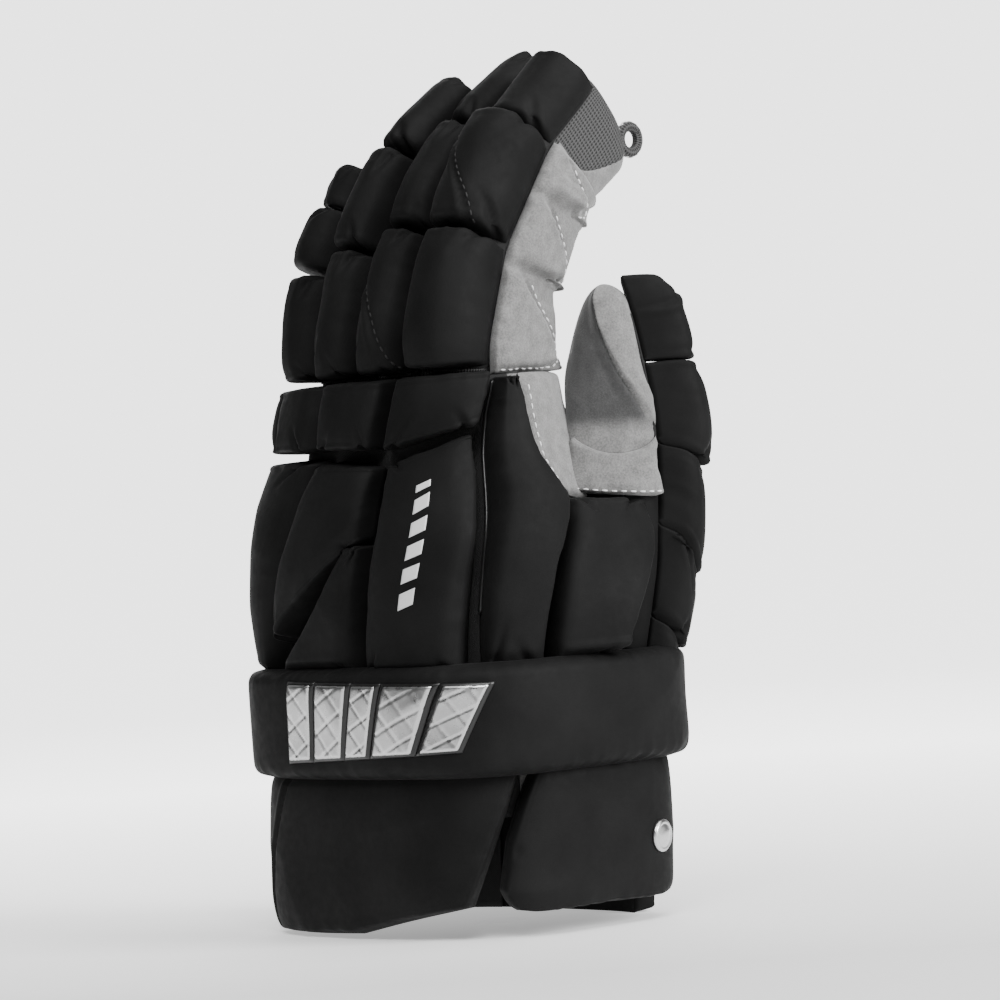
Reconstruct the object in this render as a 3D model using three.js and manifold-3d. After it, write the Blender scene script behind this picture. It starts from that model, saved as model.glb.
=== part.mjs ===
// A lacrosse glove for the left hand, standing on its cuff with the fingers up and half closed.
// Millimetres and degrees. +Z runs from cuff to fingers, +X to the thumb side, +Y to the palm side.
// Round the hand, a finger or the thumb, 0 degrees is its thumb side, 90 the palm side, -90 the back.
import * as THREE from "three";
import Module from "manifold-3d";
import { mergeVertices } from "three/addons/utils/BufferGeometryUtils.js";

const wasm = await Module();
wasm.setup();

// Clearances and walls
const CLEARANCE = 0.35; // between two pieces that touch
const PAD_GROOVE = 1.4; // open groove between two pads in a row
const WALL = 1.8; // suede, mesh and inner cloth

// The hand
const HAND_LENGTH = 207; // cuff rim to knuckle line
const HAND_HALF_WIDTH = 63; // outer face of the inner glove at the wrist
const HAND_HALF_DEPTH = 48;
const KNUCKLE_ARCH_RADIUS = 160; // the knuckle line bows round the palm
const LINING_DEPTH = 16; // inner glove inside the cuff
const BACK_PAD = 14; // thickest point of a pad on the back of the hand
const BACK_PAD_EDGE = 8;
const SEAM_ON_THUMB_SIDE = -31; // where the suede palm meets the cloth back
const SEAM_ON_LITTLE_SIDE = 188;

// The cuff and the wrist band
const CUFF_HEIGHT = 60;
const CUFF_PAD = 12.5;
const CUFF_PAD_EDGE = 7;
const CUFF_TUCK = 6; // cuff panels reach up behind the band
const PANEL_TUCK = 6; // back panels reach down behind the band
const BAND_HEIGHT = 42;
const BAND_LIFT = 11; // band's inner face, off the inner glove
const BAND_EDGE = 15;
const BAND_CROWN = 19;
const BAND_START = -150;
const BAND_END = 62;
const WRIST_PAD = 5; // panel on the palm side, between the band's ends
const WRIST_GAP = 3; // degrees from the band's ends
const PLATE_THICKNESS = 1.5;
const SNAP_RADIUS = 6.2;
const SNAP_HEIGHT = 2.6;

// The fingers and the thumb
const FINGER_LENGTH = 122; // the index finger's, along its middle line
const FINGER_PAD = 15;
const FINGER_PAD_EDGE = 6;
const FINGER_TIP_RADIUS = 10;
const JOINT_BEND = 14; // length over which a finger bends
const WEB_THICKNESS = 1.5;
const SIDE_PUFF = 6; // suede pads on the index finger's thumb side
const THUMB_LENGTH = 150;
const THUMB_HALF_WIDTH = 15;
const THUMB_HALF_DEPTH = 19;
const THUMB_PAD = 20;
const THUMB_TIP_RADIUS = 8;
const THUMB_SEAM = 14; // between suede and cloth: from the thumb's middle line towards its back
const THUMB_SEAM_TILT = 6;
const LOOP_RADIUS = 5;
const LOOP_CORD = 2;
const LOOP_AHEAD = 3.4; // from the fingertip, along the finger
const LOOP_DROP = 4; // from the finger's palm face towards its middle
const UNDER_PAD = 0.8; // room between a finger pad and the glove it is sewn to
const UNDER_PANEL = 1; // the same under a panel of the hand
const UNDER_CUFF = 1.1; // and under a cuff panel

// Sections of the inner glove. Heights are shares of HAND_LENGTH, across and width of HAND_HALF_WIDTH,
// inward and depth of HAND_HALF_DEPTH. Squareness is the power of the rounded rectangle.
const HAND_SECTIONS = [
  { height: 0, across: 0.01, inward: 0.02, width: 1, depth: 0.96, squareness: 3.6 },
  { height: 0.29, across: 0.04, inward: 0.05, width: 1, depth: 0.96, squareness: 3.6 },
  { height: 0.507, across: 0.048, inward: 0.06, width: 1, depth: 1, squareness: 3.4 },
  { height: 0.7, across: 0.048, inward: 0.06, width: 1, depth: 1, squareness: 3.2 },
  { height: 0.87, across: 0, inward: 0, width: 0.89, depth: 0.77, squareness: 3 },
  { height: 1, across: 0, inward: 0, width: 0.84, depth: 0.65, squareness: 3 },
];

const FINGER_TAPER = { width: 0.84, depth: 0.78, power: 1.6 };
// Fingers. Across and width are shares of HAND_HALF_WIDTH, inward and depth of HAND_HALF_DEPTH, stretches
// of FINGER_LENGTH. Facing turns a finger's back outwards, lean tips it sideways, curl bends each stretch.
const FINGERS = [
  { name: "index", across: 0.567, inward: -0.1, width: 0.2, depth: 0.44, facing: 4, lean: 2.5,
    stretches: [0.345, 0.345, 0.34], curl: [18, 35, 51], taper: { width: 0.94, depth: 1.22, power: 1.6 } },
  { name: "middle", across: 0.154, inward: -0.125, width: 0.192, depth: 0.44, facing: 2, lean: 1,
    stretches: [0.365, 0.345, 0.34], curl: [20, 36, 54], taper: FINGER_TAPER },
  { name: "ring", across: -0.245, inward: -0.1, width: 0.182, depth: 0.42, facing: -6, lean: -1,
    stretches: [0.336, 0.3, 0.29], curl: [15, 28, 50], taper: FINGER_TAPER },
  { name: "little", across: -0.63, inward: 0.02, width: 0.17, depth: 0.38, facing: -20, lean: -3,
    stretches: [0.3, 0.185, 0.155], curl: [6, 25, 24], taper: FINGER_TAPER },
];
const THUMB = { across: 0.79, inward: 0.54, height: 0.435, facing: 140, stretches: [0.3, 0.33, 0.37],
  curl: [-12, -6, 0], taper: { width: 0.6, depth: 0.36, power: 3.5 } };

// Suede hem round the root of the thumb
const HEM = { from: 0.47, to: 0.62, start: 123.75, end: 236.25, edge: 2.5, top: 4 };
const HEM_FOOT = THUMB.height + (HEM.from * THUMB_LENGTH) / HAND_LENGTH; // share of HAND_LENGTH

// Pads and panels on the hand. A rung crosses the piece from its little-finger edge to its thumb edge:
// height as a share of HAND_LENGTH and angle at one edge, then the same at the other.
const BAND_TOP = CUFF_HEIGHT + BAND_HEIGHT;
const PANEL_FOOT = (BAND_TOP - PANEL_TUCK) / HAND_LENGTH;
const BACK_PANELS = [
  { name: "back_outer", rungs: [[PANEL_FOOT, -152, PANEL_FOOT, -133], [0.61, -152, 0.61, -120.5],
    [0.72, -152, 0.72, -112.5], [0.872, -150, 0.872, -102.5]] },
  { name: "back_middle", rungs: [[0.522, -127, 0.725, -80.5], [0.72, -110.5, 0.785, -79.5],
    [0.868, -101, 0.848, -77]] },
  { name: "back_wedge", rungs: [[PANEL_FOOT, -127, PANEL_FOOT, -84.5], [0.604, -99.3, 0.604, -82.5],
    [0.708, -85.5, 0.71, -80.5]] },
  { name: "back_plate", rungs: [[PANEL_FOOT, -83, PANEL_FOOT, -46.5], [0.643, -78.5, 0.643, -47.5],
    [0.782, -75.5, 0.82, -48], [0.845, -75, 0.9, -48.5]] },
  { name: "side_front", rungs: [[PANEL_FOOT, -42.5, PANEL_FOOT, -19.5], [0.67, -45, 0.66, -20.6],
    [0.773, -45.3, 0.778, -14.8], [0.854, -45, 0.854, -27.5], [0.932, -43.5, 0.932, -31.5],
    [0.995, -40, 0.995, -33.5]] },
  { name: "side_rear", rungs: [[PANEL_FOOT, -17.8, PANEL_FOOT, 6], [0.565, -18.2, 0.565, 12],
    [0.67, -18.6, 0.67, 19], [HEM_FOOT, -12.5, HEM_FOOT - 0.015, 21]], rise: 12 },
  { name: "side_outer", rungs: [[PANEL_FOOT, -196, PANEL_FOOT, -154], [0.88, -196, 0.88, -152]] },
];
const HAND_SUEDE = [
  { name: "index_web", rungs: [[HEM_FOOT + 0.009, -11.5, HEM_FOOT - 0.015, 14], [0.854, -25.5, 0.83, 26],
    [0.932, -29.5, 0.93, 34], [0.995, -31.5, 0.995, 36]], edge: 2.2, top: 3 },
];
const KNUCKLE_PADS = [
  { name: "knuckle_little", rungs: [[0.884, -166, 0.884, -125], [1.008, -166, 1.008, -127.5]] },
  { name: "knuckle_ring", rungs: [[0.884, -123.5, 0.884, -103], [1.008, -126, 1.008, -103]] },
  { name: "knuckle_middle", rungs: [[0.884, -101.5, 0.878, -78.5], [1.008, -101.5, 1.008, -74.5]] },
  { name: "knuckle_index", rungs: [[0.872, -76.5, 0.914, -47], [1.008, -73, 1.008, -42.5]] },
];

// Pads on the back of each finger. Reach is how far the last pad passes the fingertip, tip its thickness as a
// share of FINGER_PAD, and sideLift how much of a pad's thickness also widens it at its two edges.
const FINGER_PAD_SHAPE = {
  index: { reach: -3, tip: 0.6, sideLift: [0.25, 0.6] },
  middle: { reach: 1, tip: 0.85, sideLift: [0.25, 0.25] },
  ring: { reach: 1, tip: 0.85, sideLift: [0.25, 0.25] },
  little: { reach: 1, tip: 0.85, sideLift: [0.6, 0.25] },
};
// Suede pads on the thumb side of the index finger: shares of its length
const INDEX_PUFFS = [
  { from: 0.02, to: 0.3 },
  { from: 0.315, to: 0.57 },
  { from: 0.585, to: 0.78 },
];
// Grooves between the thumb's pads: share of its length, how far the middle bows down, and the pad above it.
const THUMB_CUTS = [
  { at: 0.03, bow: 0, edge: 0.35, top: 0.55 },
  { at: 0.19, bow: -12, edge: 0.4, top: 0.72 },
  { at: 0.41, bow: -18, edge: 0.45, top: 0.82 },
  { at: 0.61, bow: -9, edge: 0.5, top: 1 },
  { at: 0.797, bow: 0, edge: 0.5, top: 1 },
  { at: 1.02, bow: 0 },
];

// Cuff panels. A rung gives height in shares of CUFF_HEIGHT and the angle at both ends. The panel on the back
// is drawn by upright rungs, because its rim climbs towards the thumb.
const CUFF_TOP = 1 + CUFF_TUCK / CUFF_HEIGHT;
const CUFF_PANELS = [
  { name: "cuff_back", rows: 10, columns: 4, corner: 0, rungs: [[0, -165, CUFF_TOP, -165],
    [0, -131, CUFF_TOP, -121], [0.02, -97, CUFF_TOP, -75], [0.2, -48.5, CUFF_TOP, -30.5]] },
  { name: "cuff_thumb_side", rows: 5, columns: 7, corner: 0.07, rungs: [[0.15, -37, 0.14, 52],
    [0.3, -40.3, 0.3, 52], [0.6, -38, 0.6, 52], [CUFF_TOP, -28, CUFF_TOP, 52]] },
  { name: "cuff_palm", rows: 4, columns: 7, corner: 0, rungs: [[0, 54, 0, 124],
    [CUFF_TOP, 54, CUFF_TOP, 124]] },
  { name: "cuff_little_side", rows: 4, columns: 7, corner: 0, rungs: [[0, 126, 0, 193],
    [CUFF_TOP, 126, CUFF_TOP, 193]] },
];
// The snap's place on the thumb side's cuff panel, up and across it, and its profile from the middle out.
const SNAP_PLACE = { a: 0.58, b: 0.735 };
const SNAP_PROFILE = [
  { radius: 0, height: 0 },
  { radius: 1, height: 0 },
  { radius: 1, height: 0.4 },
  { radius: 0.8, height: 0.85 },
  { radius: 0.4, height: 1 },
  { radius: 0, height: 1 },
];
// The badge's lower and upper edge on the band, heights in shares of BAND_HEIGHT.
const PLATE_RUNGS = [[0.16, -106, 0.24, -45], [0.9, -109, 0.84, -40]];

// Small helpers

const radians = (degrees) => (degrees * Math.PI) / 180;
const clamp01 = (t) => Math.min(1, Math.max(0, t));
const mix = (from, to, t) => from + (to - from) * t;

function ease(t) {
  const c = clamp01(t);
  return c * c * (3 - 2 * c);
}

// Smooth curve through one column of a table whose rows are ordered by a first column.
function tableValue(rows, key, column, at) {
  let i = 0;
  while (i < rows.length - 2 && at >= rows[i + 1][key]) i += 1;
  const slope = (j) => {
    const before = rows[Math.max(j - 1, 0)];
    const after = rows[Math.min(j + 1, rows.length - 1)];
    return (after[column] - before[column]) / (after[key] - before[key]);
  };
  const span = rows[i + 1][key] - rows[i][key];
  const t = clamp01((at - rows[i][key]) / span);
  const t2 = t * t;
  const t3 = t2 * t;
  return (
    (2 * t3 - 3 * t2 + 1) * rows[i][column] +
    (t3 - 2 * t2 + t) * span * slope(i) +
    (3 * t2 - 2 * t3) * rows[i + 1][column] +
    (t3 - t2) * span * slope(i + 1)
  );
}

// Unit rounded rectangle: the point at an angle, with half sides of one.
function roundedSquare(angle, squareness) {
  const c = Math.cos(radians(angle));
  const s = Math.sin(radians(angle));
  const k = (Math.abs(c) ** squareness + Math.abs(s) ** squareness) ** (-1 / squareness);
  return { x: k * c, y: k * s };
}

// Surfaces: each gives the point at a place along it, an angle round it and a lift off it

const ARCH_FROM = 0.435; // share of HAND_LENGTH where the knuckle arch starts to form
const ARCH_OVER = 0.53;

function handSurface(height, angle, lift) {
  const share = height / HAND_LENGTH;
  const value = (column) => tableValue(HAND_SECTIONS, "height", column, share);
  const corner = roundedSquare(angle, value("squareness"));
  const x = (value("width") * HAND_HALF_WIDTH + lift) * corner.x;
  const y = (value("depth") * HAND_HALF_DEPTH + lift) * corner.y;
  const middleX = value("across") * HAND_HALF_WIDTH;
  const middleY = value("inward") * HAND_HALF_DEPTH;
  const arch = ease((share - ARCH_FROM) / ARCH_OVER) / KNUCKLE_ARCH_RADIUS;
  if (arch < 1e-6) return new THREE.Vector3(middleX + x, middleY + y, height);
  const radius = 1 / arch;
  return new THREE.Vector3(
    middleX + (radius - y) * Math.sin(x * arch),
    middleY + radius - (radius - y) * Math.cos(x * arch),
    height,
  );
}

const CHAIN_STEP = 0.5;
const FINGER_SQUARENESS = 2.8;

// A finger or thumb: three stretches in one plane, joined by short bends. It starts level.
function makeChain(spec) {
  const face = radians(spec.facing);
  const tip = radians(spec.lean ?? 0);
  const side = new THREE.Vector3(Math.cos(face), Math.sin(face), 0);
  const up = new THREE.Vector3(0, 0, Math.cos(tip)).addScaledVector(side, Math.sin(tip));
  const across = side.clone().multiplyScalar(Math.cos(tip)).add(new THREE.Vector3(0, 0, -Math.sin(tip)));
  const palmward = new THREE.Vector3(-Math.sin(face), Math.cos(face), 0);
  const lengths = spec.stretches.map((share) => share * spec.fullLength);
  const length = lengths.reduce((sum, part) => sum + part, 0);

  const angleAt = (along) => {
    let angle = spec.curl[0] * (spec.levelStart ? ease(along / JOINT_BEND) : 1);
    let joint = 0;
    for (let i = 1; i < lengths.length; i += 1) {
      joint += lengths[i - 1];
      const turned = ease((along - joint + JOINT_BEND / 2) / JOINT_BEND);
      angle += (spec.curl[i] - spec.curl[i - 1]) * turned;
    }
    return radians(angle);
  };
  const direction = (angle) =>
    up.clone().multiplyScalar(Math.cos(angle)).addScaledVector(palmward, Math.sin(angle));

  const middle = [spec.base.clone()];
  for (let along = 0; along < length; along += CHAIN_STEP) {
    const step = direction(angleAt(along + CHAIN_STEP / 2)).multiplyScalar(CHAIN_STEP);
    middle.push(middle[middle.length - 1].clone().add(step));
  }

  const middleAt = (along) => {
    const inside = Math.min(Math.max(along, 0), length);
    const i = Math.min(Math.floor(inside / CHAIN_STEP), middle.length - 2);
    const point = middle[i].clone().lerp(middle[i + 1], inside / CHAIN_STEP - i);
    return point.addScaledVector(direction(angleAt(inside)), along - inside);
  };

  // sideLift is how much of the lift also widens the section; scale closes the rounded tip.
  const surface = (along, angle, lift, sideLift = 1, scale = 1) => {
    const bend = angleAt(along);
    const inward = up.clone().multiplyScalar(-Math.sin(bend)).addScaledVector(palmward, Math.cos(bend));
    const taper = clamp01(along / length) ** spec.taper.power;
    const halfWidth = spec.halfWidth * mix(1, spec.taper.width, taper);
    const halfDepth = spec.halfDepth * mix(1, spec.taper.depth, taper);
    const corner = roundedSquare(angle, FINGER_SQUARENESS);
    return middleAt(along)
      .addScaledVector(across, (halfWidth + lift * sideLift) * scale * corner.x)
      .addScaledVector(inward, (halfDepth + lift) * scale * corner.y);
  };
  return { surface, length, lengths, spec };
}

// Solids

function signedVolume(points, triangles) {
  const cross = new THREE.Vector3();
  return triangles.reduce((sum, [a, b, c]) => {
    cross.crossVectors(points[b], points[c]);
    return sum + points[a].dot(cross) / 6;
  }, 0);
}

// One closed body from points and triangles, faces turned outwards, collapsed triangles dropped.
function solidFrom(points, triangles) {
  const origin = points[0];
  const local = points.map((point) => point.clone().sub(origin));
  const outward = signedVolume(local, triangles) > 0;
  const position = triangles.flatMap(([a, b, c]) =>
    (outward ? [a, b, c] : [a, c, b]).flatMap((i) => points[i].toArray()),
  );
  const soup = new THREE.BufferGeometry();
  soup.setAttribute("position", new THREE.Float32BufferAttribute(position, 3));
  return solidOf(soup);
}

const MERGE_DISTANCE = 1e-3;

function solidOf(geometry) {
  const bare = geometry.index ? geometry.toNonIndexed() : geometry.clone();
  bare.deleteAttribute("normal");
  bare.deleteAttribute("uv");
  const merged = mergeVertices(bare, MERGE_DISTANCE);
  const index = merged.index.array;
  const kept = [];
  for (let i = 0; i < index.length; i += 3) {
    const [a, b, c] = [index[i], index[i + 1], index[i + 2]];
    if (a !== b && b !== c && c !== a) kept.push(a, b, c);
  }
  return new wasm.Manifold(
    new wasm.Mesh({
      numProp: 3,
      vertProperties: merged.attributes.position.array,
      triVerts: new Uint32Array(kept),
    }),
  );
}

const quad = (a, b, c, d) => [[a, b, c], [a, c, d]];

// A slab between two grids of points that match row by row.
function slab(rows, columns, lowerPoint, upperPoint) {
  const points = [];
  for (const pointAt of [lowerPoint, upperPoint])
    for (let i = 0; i <= rows; i += 1)
      for (let j = 0; j <= columns; j += 1) points.push(pointAt(i / rows, j / columns));
  const above = (rows + 1) * (columns + 1);
  const at = (i, j) => i * (columns + 1) + j;
  const triangles = [];
  for (let i = 0; i < rows; i += 1)
    for (let j = 0; j < columns; j += 1) {
      const cell = [at(i, j), at(i + 1, j), at(i + 1, j + 1), at(i, j + 1)];
      triangles.push(...quad(...cell));
      triangles.push(...quad(...cell.reverse().map((k) => k + above)));
    }
  const wall = (a, b) => triangles.push(...quad(a, b, b + above, a + above));
  for (let i = 0; i < rows; i += 1) {
    wall(at(i + 1, 0), at(i, 0));
    wall(at(i, columns), at(i + 1, columns));
  }
  for (let j = 0; j < columns; j += 1) {
    wall(at(0, j), at(0, j + 1));
    wall(at(rows, j + 1), at(rows, j));
  }
  return solidFrom(points, triangles);
}

// A closed bar through rings of points, with a flat or pointed end where a ring is flat or a point.
function ringSolid(rings) {
  const sides = rings[0].length;
  const points = rings.flat();
  const triangles = [];
  for (let i = 0; i < rings.length - 1; i += 1)
    for (let j = 0; j < sides; j += 1) {
      const next = (j + 1) % sides;
      triangles.push(...quad(i * sides + j, i * sides + next, (i + 1) * sides + next, (i + 1) * sides + j));
    }
  for (const [ring, flip] of [[0, true], [rings.length - 1, false]]) {
    const centre = new THREE.Vector3();
    rings[ring].forEach((point) => centre.addScaledVector(point, 1 / sides));
    points.push(centre);
    for (let j = 0; j < sides; j += 1) {
      const a = ring * sides + j;
      const b = ring * sides + ((j + 1) % sides);
      triangles.push(flip ? [points.length - 1, b, a] : [points.length - 1, a, b]);
    }
  }
  return solidFrom(points, triangles);
}

// Height of a padded crown over its unit square: full in the middle, thin at the edges.
const CROWN_SIDES = 2.6;
const CROWN_ROUNDNESS = 0.6;

function crown(a, b) {
  const fallOff = (t) => 1 - Math.abs(2 * t - 1) ** CROWN_SIDES;
  return (fallOff(a) * fallOff(b)) ** CROWN_ROUNDNESS;
}

// Pulls the corners of the unit square in, so a pad's outline is rounded.
const CORNER_PULL = 0.07;

function softCorner(a, b, pull = CORNER_PULL) {
  const u = 2 * a - 1;
  const v = 2 * b - 1;
  return [0.5 + 0.5 * u * (1 - pull * v ** 6), 0.5 + 0.5 * v * (1 - pull * u ** 6)];
}

// Place on the hand in a panel drawn by rungs.
function onRungs(rungs, a, b) {
  const at = Math.min(a * (rungs.length - 1), rungs.length - 1 - 1e-9);
  const i = Math.floor(at);
  const t = at - i;
  const [heightA, angleA, heightB, angleB] = rungs[i].map((value, k) => mix(value, rungs[i + 1][k], t));
  return [mix(heightA, heightB, b) * HAND_LENGTH, mix(angleA, angleB, b)];
}

// Rise lifts the thumb edge further, where a panel climbs on to the thumb's root.
function handPanel({ rungs, rows, columns, lower, edge, top, rise = 0, corner = CORNER_PULL }) {
  const place = (a, b) => onRungs(rungs, ...softCorner(a, b, corner));
  return slab(
    rows,
    columns,
    (a, b) => handSurface(...place(a, b), lower),
    (a, b) => handSurface(...place(a, b), mix(edge, top, crown(a, b)) + rise * b * b),
  );
}

// The inner glove

const TUBE_SIDES = 32;
const LINING_START = CUFF_HEIGHT - LINING_DEPTH;

function handTube(fromAngle, toAngle, columns, lower, upper) {
  const place = (a, b) => [mix(LINING_START, HAND_LENGTH, a), mix(fromAngle, toAngle, b)];
  const rows = 8;
  return slab(
    rows,
    columns,
    (a, b) => handSurface(...place(a, b), lower),
    (a, b) => handSurface(...place(a, b), upper),
  );
}

function handCore(lift) {
  const rows = 12;
  const rings = [];
  for (let i = 0; i <= rows; i += 1) {
    const height = mix(LINING_START - 2 * WALL, HAND_LENGTH + CLEARANCE, i / rows);
    const ring = [];
    for (let j = 0; j < TUBE_SIDES; j += 1)
      ring.push(handSurface(height, (j * 360) / TUBE_SIDES, lift));
    rings.push(ring);
  }
  return ringSolid(rings);
}

// Fingers and thumb

const CHAIN_SIDES = 16;
const SIDE_STEP = 360 / CHAIN_SIDES;
const sideAngle = (j) => (j - 0.5) * SIDE_STEP;

// Rows along a finger: even steps to the tip's start, then a quarter circle to the point.
function chainRows(chain, startAt, straightRows, tipRadius, inset) {
  const rows = [];
  const end = chain.length - inset;
  const tipStart = end - (tipRadius - inset);
  for (let i = 0; i <= straightRows; i += 1)
    rows.push({ along: mix(startAt, tipStart, i / straightRows), scale: 1 });
  for (const turn of [45, 90]) {
    const scale = turn === 90 ? 0 : Math.cos(radians(turn));
    rows.push({ along: tipStart + (end - tipStart) * Math.sin(radians(turn)), scale });
  }
  return rows;
}

// Finger shell from cells of its grid: wanted(i, j) says which cells the piece takes.
function chainShell(chain, rows, innerRows, wanted) {
  const points = [];
  for (const [list, lift] of [[innerRows, -WALL], [rows, 0]])
    for (const row of list)
      for (let j = 0; j < CHAIN_SIDES; j += 1)
        points.push(chain.surface(row.along, sideAngle(j), lift, 1, row.scale));
  const above = rows.length * CHAIN_SIDES;
  const at = (i, j) => i * CHAIN_SIDES + (j % CHAIN_SIDES);
  const taken = (i, j) => i >= 0 && i < rows.length - 1 && wanted(i, (j + CHAIN_SIDES) % CHAIN_SIDES);
  const triangles = [];
  const wall = (a, b) => triangles.push(...quad(a, b, b + above, a + above));
  for (let i = 0; i < rows.length - 1; i += 1)
    for (let j = 0; j < CHAIN_SIDES; j += 1) {
      if (!taken(i, j)) continue;
      const cell = [at(i, j), at(i + 1, j), at(i + 1, j + 1), at(i, j + 1)];
      triangles.push(...quad(...cell));
      triangles.push(...quad(...cell.slice().reverse().map((k) => k + above)));
      if (!taken(i - 1, j)) wall(at(i, j), at(i, j + 1));
      if (!taken(i + 1, j) && i < rows.length - 2) wall(at(i + 1, j + 1), at(i + 1, j));
      if (!taken(i, j - 1)) wall(at(i + 1, j), at(i, j));
      if (!taken(i, j + 1)) wall(at(i, j + 1), at(i + 1, j + 1));
    }
  return solidFrom(points, triangles);
}

const FINGER_STRAIGHT_ROWS = 6;
const SUEDE_ROWS = 5;
// Columns of the finger's palm strip; the index finger's also covers its thumb side.
const SUEDE_FROM = { index: 0, middle: 2, ring: 2, little: 2 };
const SUEDE_TO = 7;

function fingerMesh(chain) {
  const outer = chainRows(chain, 0, FINGER_STRAIGHT_ROWS, FINGER_TIP_RADIUS, 0);
  const inner = chainRows(chain, 0, FINGER_STRAIGHT_ROWS, FINGER_TIP_RADIUS, WALL);
  const from = SUEDE_FROM[chain.spec.name];
  return chainShell(chain, outer, inner, (i, j) => i >= SUEDE_ROWS || j < from || j > SUEDE_TO);
}

function fingerSuede(chain) {
  const tipStart = chain.length - FINGER_TIP_RADIUS;
  const columns = SUEDE_TO + 1 - SUEDE_FROM[chain.spec.name];
  const inset = (CLEARANCE / chain.spec.halfWidth) * (180 / Math.PI);
  const from = sideAngle(SUEDE_FROM[chain.spec.name]) + inset;
  const to = sideAngle(SUEDE_TO + 1) - inset;
  const end = tipStart * (SUEDE_ROWS / FINGER_STRAIGHT_ROWS) - CLEARANCE;
  const place = (a, b) => [a * end, mix(from, to, b)];
  return slab(
    SUEDE_ROWS,
    columns,
    (a, b) => chain.surface(...place(a, b), -WALL),
    (a, b) => chain.surface(...place(a, b), 0),
  );
}

// Pads on the back of a finger or thumb, one on each stretch. A bow moves the middle of an end along.
function chainPad(chain, from, to, options) {
  const { start, end, edge, top, sideLift } = options;
  const bow = options.bow ?? [0, 0];
  const rows = 5;
  const columns = Math.round((end - start) / SIDE_STEP);
  const place = (a, b) => {
    const [softA, softB] = softCorner(a, b);
    const arch = 1 - (2 * b - 1) ** 2;
    return [mix(from + bow[0] * arch, to + bow[1] * arch, softA), mix(start, end, softB)];
  };
  return slab(
    rows,
    columns,
    (a, b) => chain.surface(...place(a, b), UNDER_PAD, 1),
    (a, b) => {
      const [along, angle] = place(a, b);
      const side = mix(sideLift[0], sideLift[1], b);
      return chain.surface(along, angle, mix(edge, top, crown(a, b)), side);
    },
  );
}

function chainCore(chain, startAt, tipRadius, lift) {
  const rows = chainRows(chain, startAt, 7, tipRadius, -lift);
  return ringSolid(
    rows.map((row) => {
      const ring = [];
      for (let j = 0; j < CHAIN_SIDES; j += 1)
        ring.push(chain.surface(row.along, sideAngle(j), lift, 1, row.scale));
      return ring;
    }),
  );
}

// Assembly

const group = new THREE.Group();
const materials = {
  shell: { color: 0x232325, roughness: 0.55, metalness: 0 },
  cloth: { color: 0x17171a, roughness: 0.85, metalness: 0 },
  suede: { color: 0xa9a9a9, roughness: 0.95, metalness: 0 },
  mesh: { color: 0x6f6f70, roughness: 0.8, metalness: 0 },
  metal: { color: 0xc8c8ca, roughness: 0.3, metalness: 0.9 },
};

function addPart(name, material, solid) {
  const mesh = solid.getMesh();
  const geometry = new THREE.BufferGeometry();
  const positions = new Float32Array(mesh.numVert * 3);
  for (let i = 0; i < mesh.numVert; i += 1)
    positions.set(mesh.vertProperties.subarray(i * mesh.numProp, i * mesh.numProp + 3), i * 3);
  geometry.setAttribute("position", new THREE.BufferAttribute(positions, 3));
  geometry.setIndex(new THREE.BufferAttribute(mesh.triVerts, 1));
  geometry.computeVertexNormals();
  const part = new THREE.Mesh(geometry, new THREE.MeshStandardMaterial(materials[material]));
  part.name = name;
  group.add(part);
}

const WEB_TOP = HAND_LENGTH + CLEARANCE + WEB_THICKNESS;

const fingers = FINGERS.map((spec) => {
  const halfWidth = spec.width * HAND_HALF_WIDTH;
  const rise = CLEARANCE + halfWidth * Math.abs(Math.sin(radians(spec.lean)));
  const base = new THREE.Vector3(
    spec.across * HAND_HALF_WIDTH,
    spec.inward * HAND_HALF_DEPTH,
    WEB_TOP + rise,
  );
  return makeChain({
    ...spec,
    base,
    halfWidth,
    halfDepth: spec.depth * HAND_HALF_DEPTH,
    fullLength: FINGER_LENGTH,
    levelStart: true,
  });
});

const thumb = makeChain({
  ...THUMB,
  base: new THREE.Vector3(
    THUMB.across * HAND_HALF_WIDTH,
    THUMB.inward * HAND_HALF_DEPTH,
    THUMB.height * HAND_LENGTH,
  ),
  halfWidth: THUMB_HALF_WIDTH,
  halfDepth: THUMB_HALF_DEPTH,
  fullLength: THUMB_LENGTH,
});

const thumbOuter = chainCore(thumb, 0, THUMB_TIP_RADIUS, 0);
const thumbInner = chainCore(thumb, -WALL, THUMB_TIP_RADIUS, -WALL);
const thumbClear = chainCore(thumb, -CLEARANCE, THUMB_TIP_RADIUS, CLEARANCE);

// Wrist band: a thick roll round the back of the wrist. Its crown is a function of place.
const BAND_ROWS = 5;
const BAND_COLUMNS = 20;

function bandLift(height, angle) {
  const a = (height - CUFF_HEIGHT) / BAND_HEIGHT;
  const b = (angle - BAND_START) / (BAND_END - BAND_START);
  return mix(BAND_EDGE, BAND_CROWN, crown(clamp01(a), clamp01(b)));
}

function bandBlock(grow, lower, upper) {
  const growAngle = (grow / HAND_HALF_WIDTH) * (180 / Math.PI);
  const place = (a, b) => [
    mix(CUFF_HEIGHT - grow, BAND_TOP + grow, a),
    mix(BAND_START - growAngle, BAND_END + growAngle, b),
  ];
  return slab(
    BAND_ROWS,
    BAND_COLUMNS,
    (a, b) => handSurface(...place(a, b), lower),
    (a, b) => handSurface(...place(a, b), upper(...place(a, b))),
  );
}

const band = bandBlock(0, BAND_LIFT, bandLift);
const bandClear = bandBlock(CLEARANCE, BAND_LIFT - CLEARANCE, () => 2 * BAND_CROWN);

// Fingers

const PAD_START = sideAngle(-6);
const PAD_END = sideAngle(-1);

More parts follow.
